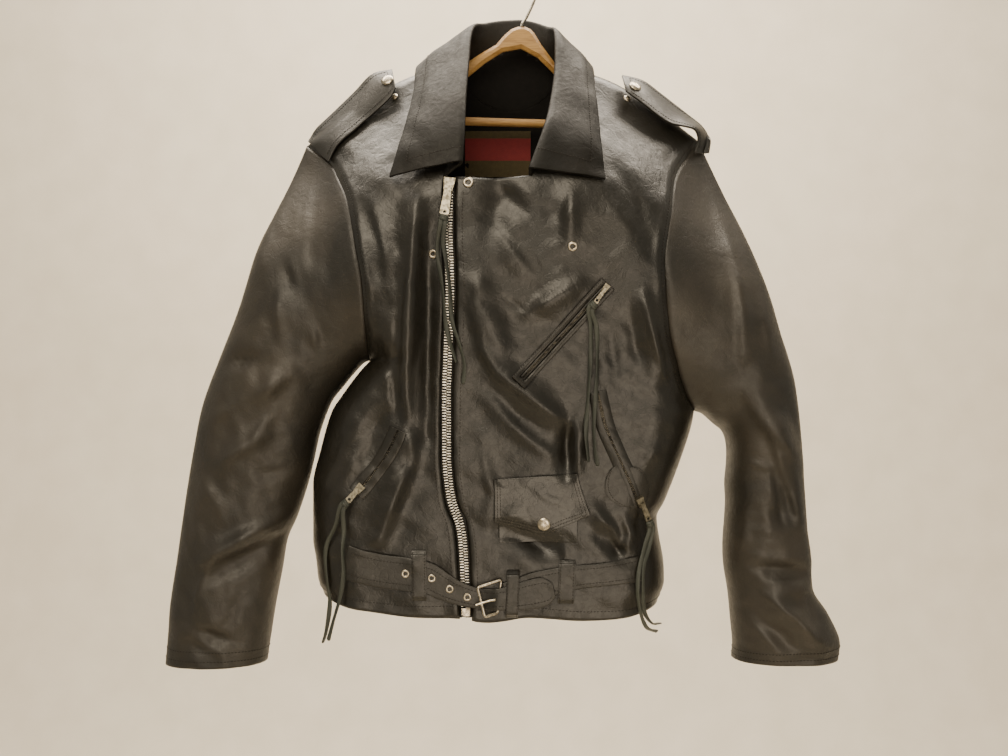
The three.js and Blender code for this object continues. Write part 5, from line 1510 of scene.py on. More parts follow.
@dataclass
class Sleeve:
    """One sleeve, from its armhole to the cuff, as sections that the folds lie on."""

    side: Side
    sections: tuple[tuple[float, float, float, float, float, float], ...]
    folds: tuple[Crease, ...]
    creases: tuple
    behind: tuple
    wall: float = 2.0
    blend: float = 6.0
    middle: float = 0.6
    stations: int = 24
    half_round: int = 10

    def points(self, body: Body, around: int, rings: int) -> Array:
        """Places the sleeve's grid.

        Args:
            body: The body's form, whose armhole the sleeve starts from.
            around: Columns round the sleeve.
            rings: Rows down the sleeve.

        Returns:
            Columns by rows by three; the last column lies on the first.
        """
        tip, pit = {Side.RIGHT: ((-256, -214), (-176, -470)), Side.LEFT: ((212, -208), (201, -529))}[self.side]
        table = [(*tip, *pit, -80, 14), *self.sections]
        outer = Path([(r[0], r[1]) for r in table], False)
        inner = Path([(r[2], r[3]) for r in table], False)
        faces = Path([(r[4], r[5]) for r in table], False)
        k, ring = np.meshgrid(np.linspace(0, 2 * self.half_round, around),
                              np.linspace(0, self.stations, rings), indexing="ij")
        front = k <= self.half_round
        row = np.where(front, body.rows - k, k + 2)
        loop = body.side_border(self.side, row)
        loop_y = np.where(front, body.front_plain(loop[..., 0], loop[..., 1]),
                          body.back(loop[..., 0], loop[..., 1], body.back_folds))
        t = ring / self.stations
        o, i, f = outer.at(t), inner.at(t), faces.at(t)
        chord = i - o
        across = unit(np.stack([-chord[..., 1], chord[..., 0]], axis=-1))
        angle = np.pi * k / self.half_round
        section = o + chord * ((1 - np.cos(angle)) / 2)[..., None]
        swell = np.abs(np.sin(angle)) ** 0.85
        section_y = mix(mix(f[..., 0], f[..., 1], self.middle),
                        np.where(angle < np.pi, f[..., 0], f[..., 1]), swell)
        start, chord0 = outer.at(0.0), inner.at(0.0) - outer.at(0.0)
        across0 = unit(np.array([-chord0[1], chord0[0]]))
        offset = loop - start
        carried = (o + chord * (offset @ chord0 / (chord0 @ chord0))[..., None]
                   + across * (offset @ across0)[..., None])
        keep = 1 - ease(np.clip(ring / self.blend, 0, 1))
        place = mix(section, carried, keep[..., None])
        y = mix(section_y, loop_y, keep)
        x, z = place[..., 0], place[..., 1]
        over = heights(self.folds, x, z)
        lift = np.where(angle < np.pi, -over - heights(self.creases, x, z) * np.clip(ring / 1.5, 0, 1),
                        over * 0.4 + heights(self.behind, x, z) * np.clip(ring / 1.5, 0, 1))
        y = y + lift * swell * np.where(ring < 0.01, 0, np.maximum(1 - keep, 0.35 * np.clip(ring / 2, 0, 1)))
        sunk = np.exp(-((ring * 18 / 5) ** 2)) * np.abs(np.sin(angle)) ** 0.5
        y = y + np.where(angle < np.pi, 2.2, -1.2) * sunk
        return np.stack([x, y, z], axis=-1)

    def make(self, body: Body, finishes: Finishes) -> list[Array]:
        """Builds the sleeve.

        Args:
            body: The body's form.
            finishes: The materials.

        Returns:
            Stitch frames of its cuff.
        """
        grid = self.points(body, 121, 145)
        name = f"sleeve_{self.side.name.lower()}"
        piece = grid_object(name + "_leather", grid, finishes.sleeve, thickness=self.wall, wraps=True)
        attach(piece, "leather", name)
        declare_cut(piece, grid)
        normals = grid_normals(grid, True)
        normals *= np.sign(-normals[30, 60, 1])
        return [frames_along(grid[:, ring] + normals[:, ring] * 0.25, normals[:, ring], 3.9)
                for ring in (-4, -8)]


SLEEVES = (
    Sleeve(Side.RIGHT, (
        (-273, -256, -186, -474, -92, 14), (-292, -301, -197, -486, -100, 13), (-309, -345, -208, -500, -104, 12),
        (-329, -410, -223, -520, -100, 10), (-355, -476, -236, -554, -96, 9), (-372, -522, -243, -585, -92, 8),
        (-383, -574, -251, -616, -88, 8), (-392, -628, -263, -652, -86, 8), (-398, -668, -275, -680, -84, 8),
        (-404, -708, -281, -714, -82, 8), (-411, -752, -289, -756, -80, 7), (-414, -792, -295, -794, -78, 6),
        (-417, -824, -299, -822, -76, 5)), (
        fold(-256, -262, -254, -368, 11, 6), fold(-330, -472, -302, -470, 10, -7),
        fold(-300, -512, -266, -484, 12, 7),
        fold(-345, -590, -292, -555, 12, 7), fold(-358, -700, -272, -658, 12, 9),
        fold(-352, -716, -275, -676, 12, -9),
        fold(-382, -765, -386, -700, 11, -5), fold(-380, -795, -335, -790, 13, -5)), (
        Crease(((-246, -238), (-247, -301), (-244, -371)), 6, 4.0, 0.35),
        Crease(((-264, -369), (-258, -386)), 6, -4.0),
        Crease(((-274, -394), (-274, -444)), 5, 3.0, 0.3), Crease(((-232, -433), (-232, -461)), 5, 3.0),
        Crease(((-329, -472), (-296, -472)), 4, -4.0, 0.3), Crease(((-290, -509), (-258, -484)), 5, 4.0, -0.3),
        Crease(((-334, -585), (-284, -553)), 5, 4.0, 0.3), Crease(((-301, -558), (-276, -526)), 5, 3.5),
        Crease(((-350, -540), (-320, -520)), 6, 3.0, 0.3), Crease(((-300, -600), (-268, -596)), 6, -3.0),
        Crease(((-346, -689), (-305, -667), (-263, -649)), 6, 5.5, 0.4),
        Crease(((-350, -704), (-305, -684), (-268, -666)), 5, -6.0, -0.3),
        Crease(((-346, -689), (-369, -733), (-374, -756)), 5, 3.2, 0.3),
        Crease(((-281, -717), (-298, -767)), 6, 3.6, 0.3),
        Crease(((-369, -777), (-325, -794)), 5, -4.0), Crease(((-376, -786), (-340, -806)), 5, 3.0),
        Crease(((-320, -730), (-336, -780)), 7, -3.0), Crease(((-386, -640), (-376, -690)), 7, -3.0, 0.3),
        Crease(((-280, -300), (-290, -360)), 9, -2.8), Crease(((-370, -600), (-340, -650)), 8, 3.0, 0.3),
        Crease(((-220, -290), (-214, -380)), 8, -2.6), Ripple(31, 46, 1.0), Ripple(32, 22, 0.55)), (
        Crease(((-330, -470), (-290, -500), (-250, -520)), 6, 4.0, 0.3),
        Crease(((-350, -560), (-300, -590)), 6, 3.5),
        Crease(((-360, -660), (-290, -690)), 6, 5.0, 0.4), Crease(((-364, -680), (-296, -710)), 5, -4.0),
        Crease(((-380, -740), (-320, -790)), 6, 3.4), Crease(((-270, -290), (-280, -380)), 8, -3.0),
        Ripple(33, 46, 1.0), Ripple(34, 20, 0.42))),
    Sleeve(Side.LEFT, (
        (240, -270, 214, -534, -96, 16), (263, -322, 226, -545, -104, 15), (283, -378, 236, -554, -104, 14),
        (301, -438, 241, -570, -100, 12), (316, -487, 241, -592, -98, 11), (324, -540, 239, -614, -94, 10),
        (328, -586, 240, -634, -90, 9), (331, -632, 239, -654, -88, 8), (334, -667, 237, -684, -86, 8),
        (339, -702, 238, -710, -84, 8), (341, -738, 243, -742, -84, 8), (357, -764, 246, -776, -88, 8),
        (371, -794, 248, -800, -88, 7), (370, -818, 247, -818, -84, 6)), (
        fold(225, -250, 253, -460, 11, 8), fold(204, -300, 212, -420, 14, -6),
        fold(260, -514, 322, -586, 12, 8),
        fold(286, -545, 326, -655, 12, 7), fold(295, -597, 310, -668, 10, -7),
        fold(285, -716, 340, -716, 9, -8),
        fold(288, -731, 336, -731, 9, 6), fold(285, -746, 345, -796, 12, 9),
        fold(262, -760, 320, -806, 12, -5)), (
        Crease(((216, -240), (226, -292), (235, -342), (242, -392), (244, -469)), 6, 4.5, 0.35),
        Crease(((250, -514), (274, -550), (311, -582)), 5, 4.0, 0.3),
        Crease(((274, -544), (290, -587), (315, -649)), 5, 4.0, 0.3),
        Crease(((254, -586), (281, -593)), 4, 3.0), Crease(((282, -638), (290, -647), (296, -658)), 8, -5.0),
        Crease(((283, -594), (297, -660)), 4, -3.0), Crease(((264, -708), (324, -708)), 5, -5.0, 0.3),
        Crease(((272, -721), (324, -721)), 5, 4.0),
        Crease(((274, -737), (308, -761), (333, -786)), 6, 5.0, 0.4),
        Crease(((326, -739), (335, -786)), 5, -3.0), Crease(((256, -640), (250, -690)), 6, 3.0, 0.3),
        Crease(((262, -770), (290, -800)), 6, 3.4, 0.3), Crease(((206, -330), (216, -400)), 7, -3.0),
        Crease(((268, -400), (282, -470)), 8, 2.8, 0.3), Crease(((262, -340), (270, -380)), 7, -2.4),
        Crease(((300, -520), (316, -560)), 6, -3.0), Ripple(41, 46, 1.0), Ripple(42, 22, 0.55)), (
        Crease(((250, -500), (300, -540)), 6, 4.0, 0.3), Crease(((260, -600), (316, -640)), 6, 3.6),
        Crease(((256, -700), (330, -720)), 6, 5.0, 0.4), Crease(((262, -716), (330, -738)), 5, -4.0),
        Crease(((280, -760), (350, -800)), 6, 3.4), Crease(((240, -320), (250, -420)), 8, -3.0),
        Ripple(43, 46, 1.0), Ripple(44, 20, 0.42))),
)


@dataclass
class Collar:
    """Turned-down collar: stand, roll and leaf, from the right front round the neck to the left."""

    stations: int = 141
    rows: int = 57
    wall: float = 3.0
    open: float = 6.5
    clear: float = 4.0

    def make(self, body: Body, finishes: Finishes) -> list[Array]:
        """Builds the collar.

        Args:
            body: The body's form.
            finishes: The materials.

        Returns:
            Stitch frames along its leaf.
        """
        table = Table([
            (0.00, -67, -136, -257, -146, -124, -270), (0.08, -65, -126, -222, -138, -116, -240),
            (0.16, -64, -101, -180, -129, -90, -198), (0.24, -62, -60, -130, -124, -58, -160),
            (0.33, -58, -14, -79, -121, -8, -120), (0.41, -42, 17, -62, -96, 42, -130),
            (0.50, -3, 25, -56, -8, 44, -134), (0.59, 31, 17, -66, 64, 42, -132), (0.67, 41, -12, -84, 84, -8, -121),
            (0.76, 39, -52, -138, 84, -60, -160), (0.84, 32, -90, -186, 86, -86, -198),
            (0.92, 24, -116, -218, 88, -112, -240), (1.00, 8, -136, -264, 91, -122, -272)])
        at = np.linspace(0, 1, self.stations)
        right = body.zip_border(Side.RIGHT, 15 + 7 * np.clip(at / 0.33, 0, 1))
        left = body.zip_border(Side.LEFT, 22 - 5 * np.clip((at - 0.67) / 0.33, 0, 1))
        neck_x = mix(-79.0, 53.0, np.clip((at - 0.33) / 0.34, 0, 1))
        behind = np.stack([neck_x, body.back_neck.at(neck_x)], axis=-1)
        xz = np.where((at <= 0.33)[:, None], right, np.where((at >= 0.67)[:, None], left, behind))
        is_front = (at <= 0.33) | (at >= 0.67)
        y = np.where(is_front, body.front_plain(xz[:, 0], xz[:, 1]),
                     body.back(xz[:, 0], xz[:, 1], body.back_folds))
        seam = np.stack([xz[:, 0], y, xz[:, 1]], axis=-1)
        front_normal = body.front_normal(xz[:, 0], xz[:, 1])
        up = np.array([0.0, 0.0, 1.0])
        turn = np.clip(1 - np.abs(np.minimum(np.abs(at - 0.33), np.abs(at - 0.67))) / 0.07, 0, 1)[:, None]
        out = np.where(is_front[:, None], front_normal, np.array([0.0, 1.0, 0.15]))
        out = unit(mix(unit(out), up, turn * 0.85))
        for _ in range(6):
            out[1:-1] = unit(out[:-2] + 2 * out[1:-1] + out[2:])
        seam = seam - out * 1.0
        roll = np.stack([table.at(at, k) for k in range(3)], axis=-1)
        edge = np.stack([table.at(at, k) for k in range(3, 6)], axis=-1)

        def leaf(share: float, lift: float) -> Array:
            """Follows the leaf at a share of its height and a lift, clear of the panels."""
            p = mix(roll, edge, share) + out * lift
            below = p[:, 2] <= body.shoulder.at(p[:, 0]) - 1
            ahead = np.minimum(p[:, 1], body.front_plain(p[:, 0], p[:, 2]) - self.clear)
            after = np.maximum(p[:, 1], body.back(p[:, 0], p[:, 2], body.back_folds) + self.clear)
            p[:, 1] = np.where(below, np.where(is_front, ahead, after), p[:, 1])
            return p

        lines = [seam, mix(seam, roll, 0.5) + out, mix(roll, seam, 0.12),
                 roll + out * self.open / 2 + unit(roll - seam), leaf(0.05, self.open), leaf(0.28, self.open - 0.5),
                 leaf(0.52, self.open - 1), leaf(0.76, self.open - 2), leaf(1, 0)]
        shape = np.stack(lines, axis=1)
        t = np.linspace(0, 1, self.rows)
        grid = np.stack([Path(column).at(t) for column in shape])
        across = t[None, :]
        swell = Ripple(51, 42, 0.5).at(grid[..., 0], grid[..., 2])
        normals = grid_normals(grid)
        if np.mean(normals[20, -12:, 1]) > 0:
            normals = -normals
        leaf_part = np.clip((across - 0.45) * 5, 0, 1)
        rim = np.clip((1 - across) / 0.09, 0, 1)
        ends = np.clip(np.minimum(at, 1 - at) / 0.03, 0, 1)[:, None]
        puff = (np.exp(-(((1 - across) / 0.09 - 1.0) / 0.5) ** 2) * -0.5 + 0.35 * np.sqrt(rim) * ends) * leaf_part
        grid = grid + normals * (puff + swell * leaf_part)[..., None]
        piece = grid_object("collar_leather", grid, finishes.collar, thickness=self.wall, offset=0.0,
                            outward=(0, -1, 0.2), edge=1.0)
        # Painted shade: the back of the stand takes the near-black lining material.
        self.shade_stand(piece, finishes.lining_and_shade)
        attach(piece, "leather", "collar")
        declare_cut(piece, grid)
        frames = []
        row = self.rows - 7
        inset = 5
        top = grid[inset:-inset, row] + normals[inset:-inset, row] * (self.wall / 2 + 0.2)
        frames.append(frames_along(top, normals[inset:-inset, row], 3.6))
        for column in (inset, -inset - 1):
            side = grid[column, 26:row + 1] + normals[column, 26:row + 1] * (self.wall / 2 + 0.2)
            frames.append(frames_along(side, normals[column, 26:row + 1], 3.6))
        return frames

    @staticmethod
    def shade_stand(piece: bpy.types.Object, lining_and_shade: bpy.types.Material) -> None:
        """Paints shade on the back of the stand below the hanger's arms with the near-black lining material; the arms
        hide where this painted shade starts.

        Args:
            piece: The collar.
            lining_and_shade: The near-black lining material, here used as painted shade.
        """
        piece.data.materials.append(lining_and_shade)
        for face in piece.data.polygons:
            x, y, z = face.center / MM
            if -40 < y < 36 and -80 < x < 54 and z < -85 - 0.66 * abs(x + 8):
                face.material_index = 1


@dataclass
class Strap:
    """Strip laid on the front, as rows of centre x, centre z, half-width and height off the panel."""

    name: str
    rows: tuple[tuple[float, float, float, float], ...]
    on: tuple[str, ...] = ("front_left_leather",)
    thickness: float = 3.0

    def grid(self, body: Body, steps: int, across: int) -> Array:
        """Places the strip.

        Args:
            body: The body's form.
            steps: Points along it.
            across: Points across it.

        Returns:
            Its outer points.
        """
        centre = Path([(x, off, z) for x, z, _, off in self.rows])
        half = Path([(h, 0.0) for _, _, h, _ in self.rows], False)
        t = np.linspace(0, 1, steps)
        p = centre.at(t)
        tangent = np.gradient(p, axis=0)
        length = np.hypot(tangent[:, 0], tangent[:, 2])[:, None]
        w = half.at(t)[:, :1] * np.linspace(-1, 1, across)[None, :]
        x = p[:, :1] - w * tangent[:, 2:] / length
        z = p[:, 2:] + w * tangent[:, :1] / length
        crown = 0.5 * (1 - np.linspace(-1, 1, across) ** 4)[None, :]
        return body.laid(x, z, p[:, 1:2] + self.thickness + crown)

    def make(self, body: Body, finishes: Finishes) -> list[Array]:
        """Builds the strap.

        Args:
            body: The body's form.
            finishes: The materials.

        Returns:
            Its stitch frames.
        """
        grid = self.grid(body, 90, 17)
        piece = grid_object(self.name + "_strap", grid, finishes.trim, thickness=self.thickness,
                            outward=(0, -1, 0), edge=0.9)
        attach(piece, "leather", self.name)
        declare_cut(piece, grid)
        return [body.stitches(grid[2:-2, column], 3.6) for column in (3, -4)]


STRAPS = (
    Strap("belt_right", (
        (-198, -694, 18.5, 2.2), (-179, -700, 18.5, 1.3), (-157, -705, 18.5, 0.9), (-125, -709, 18.5, 0.9),
        (-104, -713, 17, 0.9), (-90, -721, 15.5, 0.9), (-74, -728.5, 13.5, 0.9), (-58, -733.5, 12, 0.9),
        (-46, -735.5, 11.5, 0.9), (-37, -736, 11.5, 2.4), (-28, -736, 12, 4.9), (-18, -735, 13, 4.8),
        (-4, -733, 15, 4.6), (12, -730, 16.5, 4.6), (26, -727, 15.5, 4.6), (35, -725, 8, 4.6)),
        ("front_right_leather", "front_left_leather")),
    Strap("belt_left", (
        (-20, -731, 13, 0.9), (-4, -728, 15, 0.9), (16, -722, 16, 0.9), (38, -716.5, 15, 0.9), (60, -712, 13.5, 0.9),
        (86, -709.5, 13, 0.9), (112, -706, 13.5, 0.9), (132, -703, 14, 0.9))),
)


@dataclass
class Loop:
    """Short strap over the belt, both ends sewn to the front."""

    name: str
    x: float
    low: float
    high: float
    half: float
    lean: float
    over: float
    on: str = "belt_right_strap"
    thickness: float = 1.5

    def make(self, body: Body, finishes: Finishes) -> list[Array]:
        """Builds the loop.

        Args:
            body: The body's form.
            finishes: The materials.

        Returns:
            Its stitch frames.
        """
        profile = Path([(0, 0), (0.06, 0.55), (0.14, 1), (0.5, 1.04), (0.86, 1), (0.94, 0.55), (1, 0)])
        run = profile.at(np.linspace(0, 1, 61))
        side = np.linspace(-1, 1, 11)[:, None]
        share, rise = run[None, :, 0], run[None, :, 1]
        x = self.x + side * self.half + self.lean * (1 - share)
        z = mix(self.low, self.high, share) + 0 * side
        grid = body.laid(x, z, mix(LAID, self.over, rise) + self.thickness + 0.25 * (1 - side ** 4))
        piece = grid_object(self.name + "_strap", grid, finishes.trim, thickness=self.thickness,
                            outward=(0, -1, 0), edge=0.5)
        attach(piece, "leather", self.name)
        declare_cut(piece, grid)
        return [body.stitches(grid[column, 2:-2], 3.4) for column in (1, -2)]


LOOPS = (
    Loop("belt_loop_right", -115, -738, -682, 8, 1, 4.5),
    Loop("belt_loop_left", 50, -741, -693, 9, -2, 4.5, "belt_left_strap"),
    Loop("belt_keeper", -10, -757, -704, 7, -2, 8.3),
)


LEFT_POCKET = Path([(82.5, -506), (91, -542), (108, -582), (119, -606), (130, -633)])


@dataclass
class Pockets:
    """Chest pocket's welt, coin pocket with its flap, and the half-round patches."""

    ply: float = 1.5
    welt_flat: tuple[float, float] = (0.146, 0.020)
    welt_area: float = 0.0020
    chest_from: tuple[float, float] = (94.0, -388.0)
    chest_to: tuple[float, float] = (-4.5, -496.0)

    def make(self, body: Body, finishes: Finishes) -> list[Array]:
        """Builds the pockets' leather.

        Args:
            body: The body's form.
            finishes: The materials.

        Returns:
            Stitch frames.
        """
        frames = self.welt(body, finishes)
        frames += self.coin(body, finishes)
        for name, start, reach in (("inner", 0.62, -24.0), ("outer", 0.68, 15.0)):
            share = np.linspace(0, 1, 41)
            p = LEFT_POCKET.even(mix(start, 0.98, share))
            tangent = unit(np.gradient(p, axis=0))
            here = np.sign(reach) * (3 + (abs(reach) - 3) * np.sin(np.pi * share) ** 0.6)
            w = np.linspace(0, 1, 13)[None, :]
            away = 5.3 * np.sign(reach) + here[:, None] * w
            x, z = beside(p, tangent, away)
            grid = body.laid(x, z, LAID + 0.4 + self.ply + 0.35 * np.sin(np.pi * w))
            piece = grid_object(f"pocket_left_patch_{name}_leather", grid, finishes.trim, thickness=self.ply,
                                outward=(0, -1, 0), edge=0.5)
            attach(piece, "leather", f"pocket_left_patch_{name}")
            declare_cut(piece, grid)
            frames.append(body.stitches(grid[2:-2, -3], 3.2))
        return frames

    def welt(self, body: Body, finishes: Finishes) -> list[Array]:
        """Builds the chest pocket's frame.

        Args:
            body: The body's form.
            finishes: The materials.

        Returns:
            Stitch frames.
        """
        start, end = np.array(self.chest_from), np.array(self.chest_to)
        length = float(np.linalg.norm(end - start))
        along = (end - start) / length
        side = np.array([-along[1], along[0]])

        def ring(inset: float, half: float) -> Array:
            """Goes round the opening at an inset from its ends and a half-width."""
            run = np.linspace(inset, length - inset, 60)
            one = start + np.outer(run, along) - side * half
            two = start + np.outer(run[::-1], along) + side * half
            return np.vstack([one, two, one[:1]])

        rails = [mix(ring(0, 9.5), ring(5, 3.6), w) for w in np.linspace(0, 1, 9)]
        flat = np.stack(rails, axis=1)
        puff = 0.6 * np.sin(np.pi * np.linspace(0, 1, 9))[None, :]
        grid = body.laid(flat[..., 0], flat[..., 1], LAID + 0.8 + self.ply + puff)
        piece = grid_object("chest_welt_leather", grid, finishes.trim, thickness=self.ply, wraps=True,
                            outward=(0, -1, 0), edge=0.4)
        attach(piece, "leather", "chest_welt")
        up = body.front_normal(grid[:, 5, 0], grid[:, 5, 2])
        return [frames_along(grid[:, k] + up * STITCH_RISE, up, 3.2) for k in (5, 1)]

    def coin(self, body: Body, finishes: Finishes) -> list[Array]:
        """Builds the coin pocket and its pointed flap.

        Args:
            body: The body's form.
            finishes: The materials.

        Returns:
            Stitch frames.
        """
        under = Table([(0.0, -651), (0.25, -657.5), (0.49, -664), (0.75, -654), (1.0, -643.5)])
        frames = []
        for name, stack in (("coin_pocket", LAID), ("coin_flap", 3.0)):
            s, t = np.meshgrid(np.linspace(0, 1, 61), np.linspace(0, 1, 33), indexing="ij")
            if name == "coin_pocket":
                x, z = mix(-26.0, 61.0, s), mix(-608.0 + 4 * s, -674.0, t)
                rise = stack - 2.1 * t ** 3
            else:
                x, z = mix(-31 + 91 * s, -31 + 106 * s, t), mix(-603 + 6 * s, under.at(s), t)
                rise = stack + 0.9 * np.sin(np.pi * s) * t
            belly = 0.7 * np.sin(np.pi * t) * np.sqrt(np.maximum(np.sin(np.pi * s), 0))
            grid = body.laid(x, z, rise + self.ply + belly)
            piece = grid_object(name + "_leather", grid, finishes.flap, thickness=self.ply,
                                outward=(0, -1, 0), edge=0.6)
            attach(piece, "leather", name)
            declare_cut(piece, grid)
            for depth in (2, 4) if name == "coin_flap" else ():
                rim = np.concatenate([grid[depth, 3:-depth - 1], grid[depth:-depth, -depth - 1],
                                      grid[-depth - 1, 3:-depth - 1][::-1]])
                frames.append(body.stitches(rim, 3.2))
        return frames


@dataclass
class Chain:
    """A zip: woven tape with two rows of metal teeth along a line (x, z)."""

    name: str
    node: str
    line: Path
    width: float
    pitch: float
    depth: float
    off: float
    tape: float
    tape_off: float
    lips: float = 0.0
    under: str = "front_left_leather"

    def make(self, body: Body, finishes: Finishes) -> None:
        """Builds the zip.

        Args:
            body: The body's form.
            finishes: The materials.
        """
        xz = self.line.even(np.linspace(0, 1, 140))
        tangent = unit(np.gradient(xz, axis=0))
        w = np.linspace(-self.tape, self.tape, 9)[None, :]
        x, z = beside(xz, tangent, w)
        tape = grid_object(self.name + "_tape", body.laid(x, z, self.tape_off), finishes.tape, thickness=0.6,
                           outward=(0, -1, 0))
        attach(tape, "zip_tape")
        line = body.laid(xz[:, 0], xz[:, 1], self.off)
        up = body.front_normal(xz[:, 0], xz[:, 1])
        for _ in range(8):
            line[1:-1] = (line[:-2] + 2 * line[1:-1] + line[2:]) / 4
        rows = []
        for way in (-1, 1):
            frames = frames_along(line, up, self.pitch, 0.25 * self.pitch * (2 + way))
            shift = frames.copy()
            shift[:, :, 3] += frames[:, :, 0] * way * self.width * 0.26
            shift[:, :, 0] *= -way
            shift[:, :, 1] *= -way
            rows.append(shift)
        metal = finishes.dark_teeth if self.lips else finishes.teeth
        teeth = copies_object(self.name + "_teeth", tooth_template(self.width * 0.5, self.pitch, self.depth),
                              np.concatenate(rows), metal, smooth=False)
        attach(teeth, "nickel", self.node)
        for way, word in ((-1, "low"), (1, "high")) if self.lips else ():
            self.lip(body, finishes, xz, tangent, way, word)

    def lip(self, body: Body, finishes: Finishes, xz: Array, tangent: Array, way: int, word: str) -> None:
        """Builds one of the leather edges that nearly close over a pocket's teeth.

        Args:
            body: The body's form.
            finishes: The materials.
            xz: Points of the zip's line.
            tangent: Its directions.
            way: Which side of the line.
            word: Name of that side.
        """
        t = np.linspace(0, 1, 11)[None, :]
        gap = 1.3 + 0.35 * np.sin(np.linspace(0, 9, len(xz)))[:, None]
        w = way * (gap + self.lips * t)
        x, z = beside(xz, tangent, w)
        rise = (self.off + self.depth * 0.5 + 0.4) * np.cos(0.5 * np.pi * t) ** 0.7 + 0.5
        grid = body.laid(x, z, rise)
        edge = grid_object(f"{self.name}_lip_{word}", grid, finishes.trim, thickness=1.0,
                           outward=(0, -1, 0), edge=0.35)
        attach(edge, "leather")


def main_zip(body: Body) -> Chain:
    """Makes the main zip's description.

    Args:
        body: The body's form.

    Returns:
        The zip.
    """
    z = np.linspace(float(body.hem.at(-63)) + 2, -272, 40)
    line = Path(np.stack([body.zip_line.at(z), z], axis=1))
    return Chain("main_zip", "zip_main", line, 9.4, 3.1, 2.6, -1.3, 9.4, -2.9)


POCKET_ZIPS = (
    Chain("chest_zip", "chest_zip", Path([(89, -393.4), (0.4, -490.6)]), 5.4, 1.7, 1.3, 1.3, 3.3, 0.7, 2.4),
    Chain("pocket_left_zip", "pocket_left_zip", LEFT_POCKET, 6.0, 2.0, 1.4, 1.2, 4.2, 0.7, 9.0),
    Chain("pocket_right_zip", "pocket_right_zip", Path([(-137, -548), (-149, -573), (-162, -592), (-184, -619)]),
          6.0, 2.0, 1.4, 1.2, 4.2, 0.7, 9.0, "front_right_leather"),
)


@dataclass
class Round:
    """Snap, eyelet or stud turned from a profile of radius and height, seated on the front."""

    node: str
    x: float
    z: float
    off: float
    profile: tuple[tuple[float, float], ...]

    def make(self, body: Body, finishes: Finishes) -> None:
        """Builds the turned piece.

        Args:
            body: The body's form.
            finishes: The materials.
        """
        normal = body.front_normal(self.x, self.z)
        centre = body.laid(self.x, self.z, 0.0) + normal * self.off
        turned(self.node + "_turned", centre, normal, self.profile, finishes.nickel, self.node)


def turned(name: str, centre: Array, normal: Array, profile: Sequence[tuple[float, float]],
           finish: bpy.types.Material, node: str) -> None:
    """Turns a profile about a normal.

    Args:
        name: Name of the piece.
        centre: Foot of the axis, in mm.
        normal: Direction of the axis.
        profile: Radius and height pairs.
        finish: Its material.
        node: CAD node it stands for.
    """
    axis = unit(np.asarray(normal, float))
    side = unit(np.cross(axis, [0.1, 0.2, 1.0]))
    other = np.cross(axis, side)
    turn = np.linspace(0, math.tau, 33)[:, None, None]
    radius = np.array([r for r, _ in profile])[None, :, None]
    height = np.array([h for _, h in profile])[None, :, None]
    grid = np.asarray(centre) + radius * (np.cos(turn) * side + np.sin(turn) * other) + height * axis
    piece = grid_object(name, grid, finish, wraps=True, outward=tuple(axis))
    attach(piece, "nickel", node)


RING = ((2.2, -0.6), (2.3, 0.6), (2.9, 1.1), (3.9, 1.25), (4.8, 0.9), (5.2, 0.2), (5.2, -0.5))
CAP = ((0.01, 2.3), (3.0, 2.25), (5.4, 1.9), (6.6, 1.3), (7.4, 0.7), (7.5, 0.0), (7.3, -0.4))
STUD = ((0.01, 3.1), (2.0, 3.1), (2.5, 2.8), (2.4, 2.0), (2.8, 1.4), (4.2, 1.1), (4.5, 0.6), (4.5, -0.3))


def scaled(profile: Sequence[tuple[float, float]], share: float) -> tuple[tuple[float, float], ...]:
    """Scales a profile's radii.

    Args:
        profile: Radius and height pairs.
        share: Scale of the radii.

    Returns:
        The scaled profile.
    """
    return tuple((r * share, h) for r, h in profile)


ROUNDS = (
    Round("snap_corner", -59.5, -277, 0.8, scaled(RING, 1.15)),
    Round("snap_lapel_right", -98, -355, 1.4, scaled(RING, 0.96)),
    Round("snap_lapel_left", 54.5, -347, 1.1, scaled(RING, 1.06)),
    Round("eyelet_1", -129.5, -707.5, 4.8, scaled(RING, 0.9)),
    Round("eyelet_2", -100.5, -712.5, 4.8, scaled(RING, 0.9)),
    Round("eyelet_3", -80.5, -724.5, 4.8, scaled(RING, 0.9)),
    Round("eyelet_4", -61, -733.5, 4.8, scaled(RING, 0.9)),
    Round("coin_cap", 24, -652, 5.2, CAP), Round("shoulder_stud_right", -149, -161, 0.8, STUD),
    Round("shoulder_stud_left", 124, -163, 1.8, STUD),
)


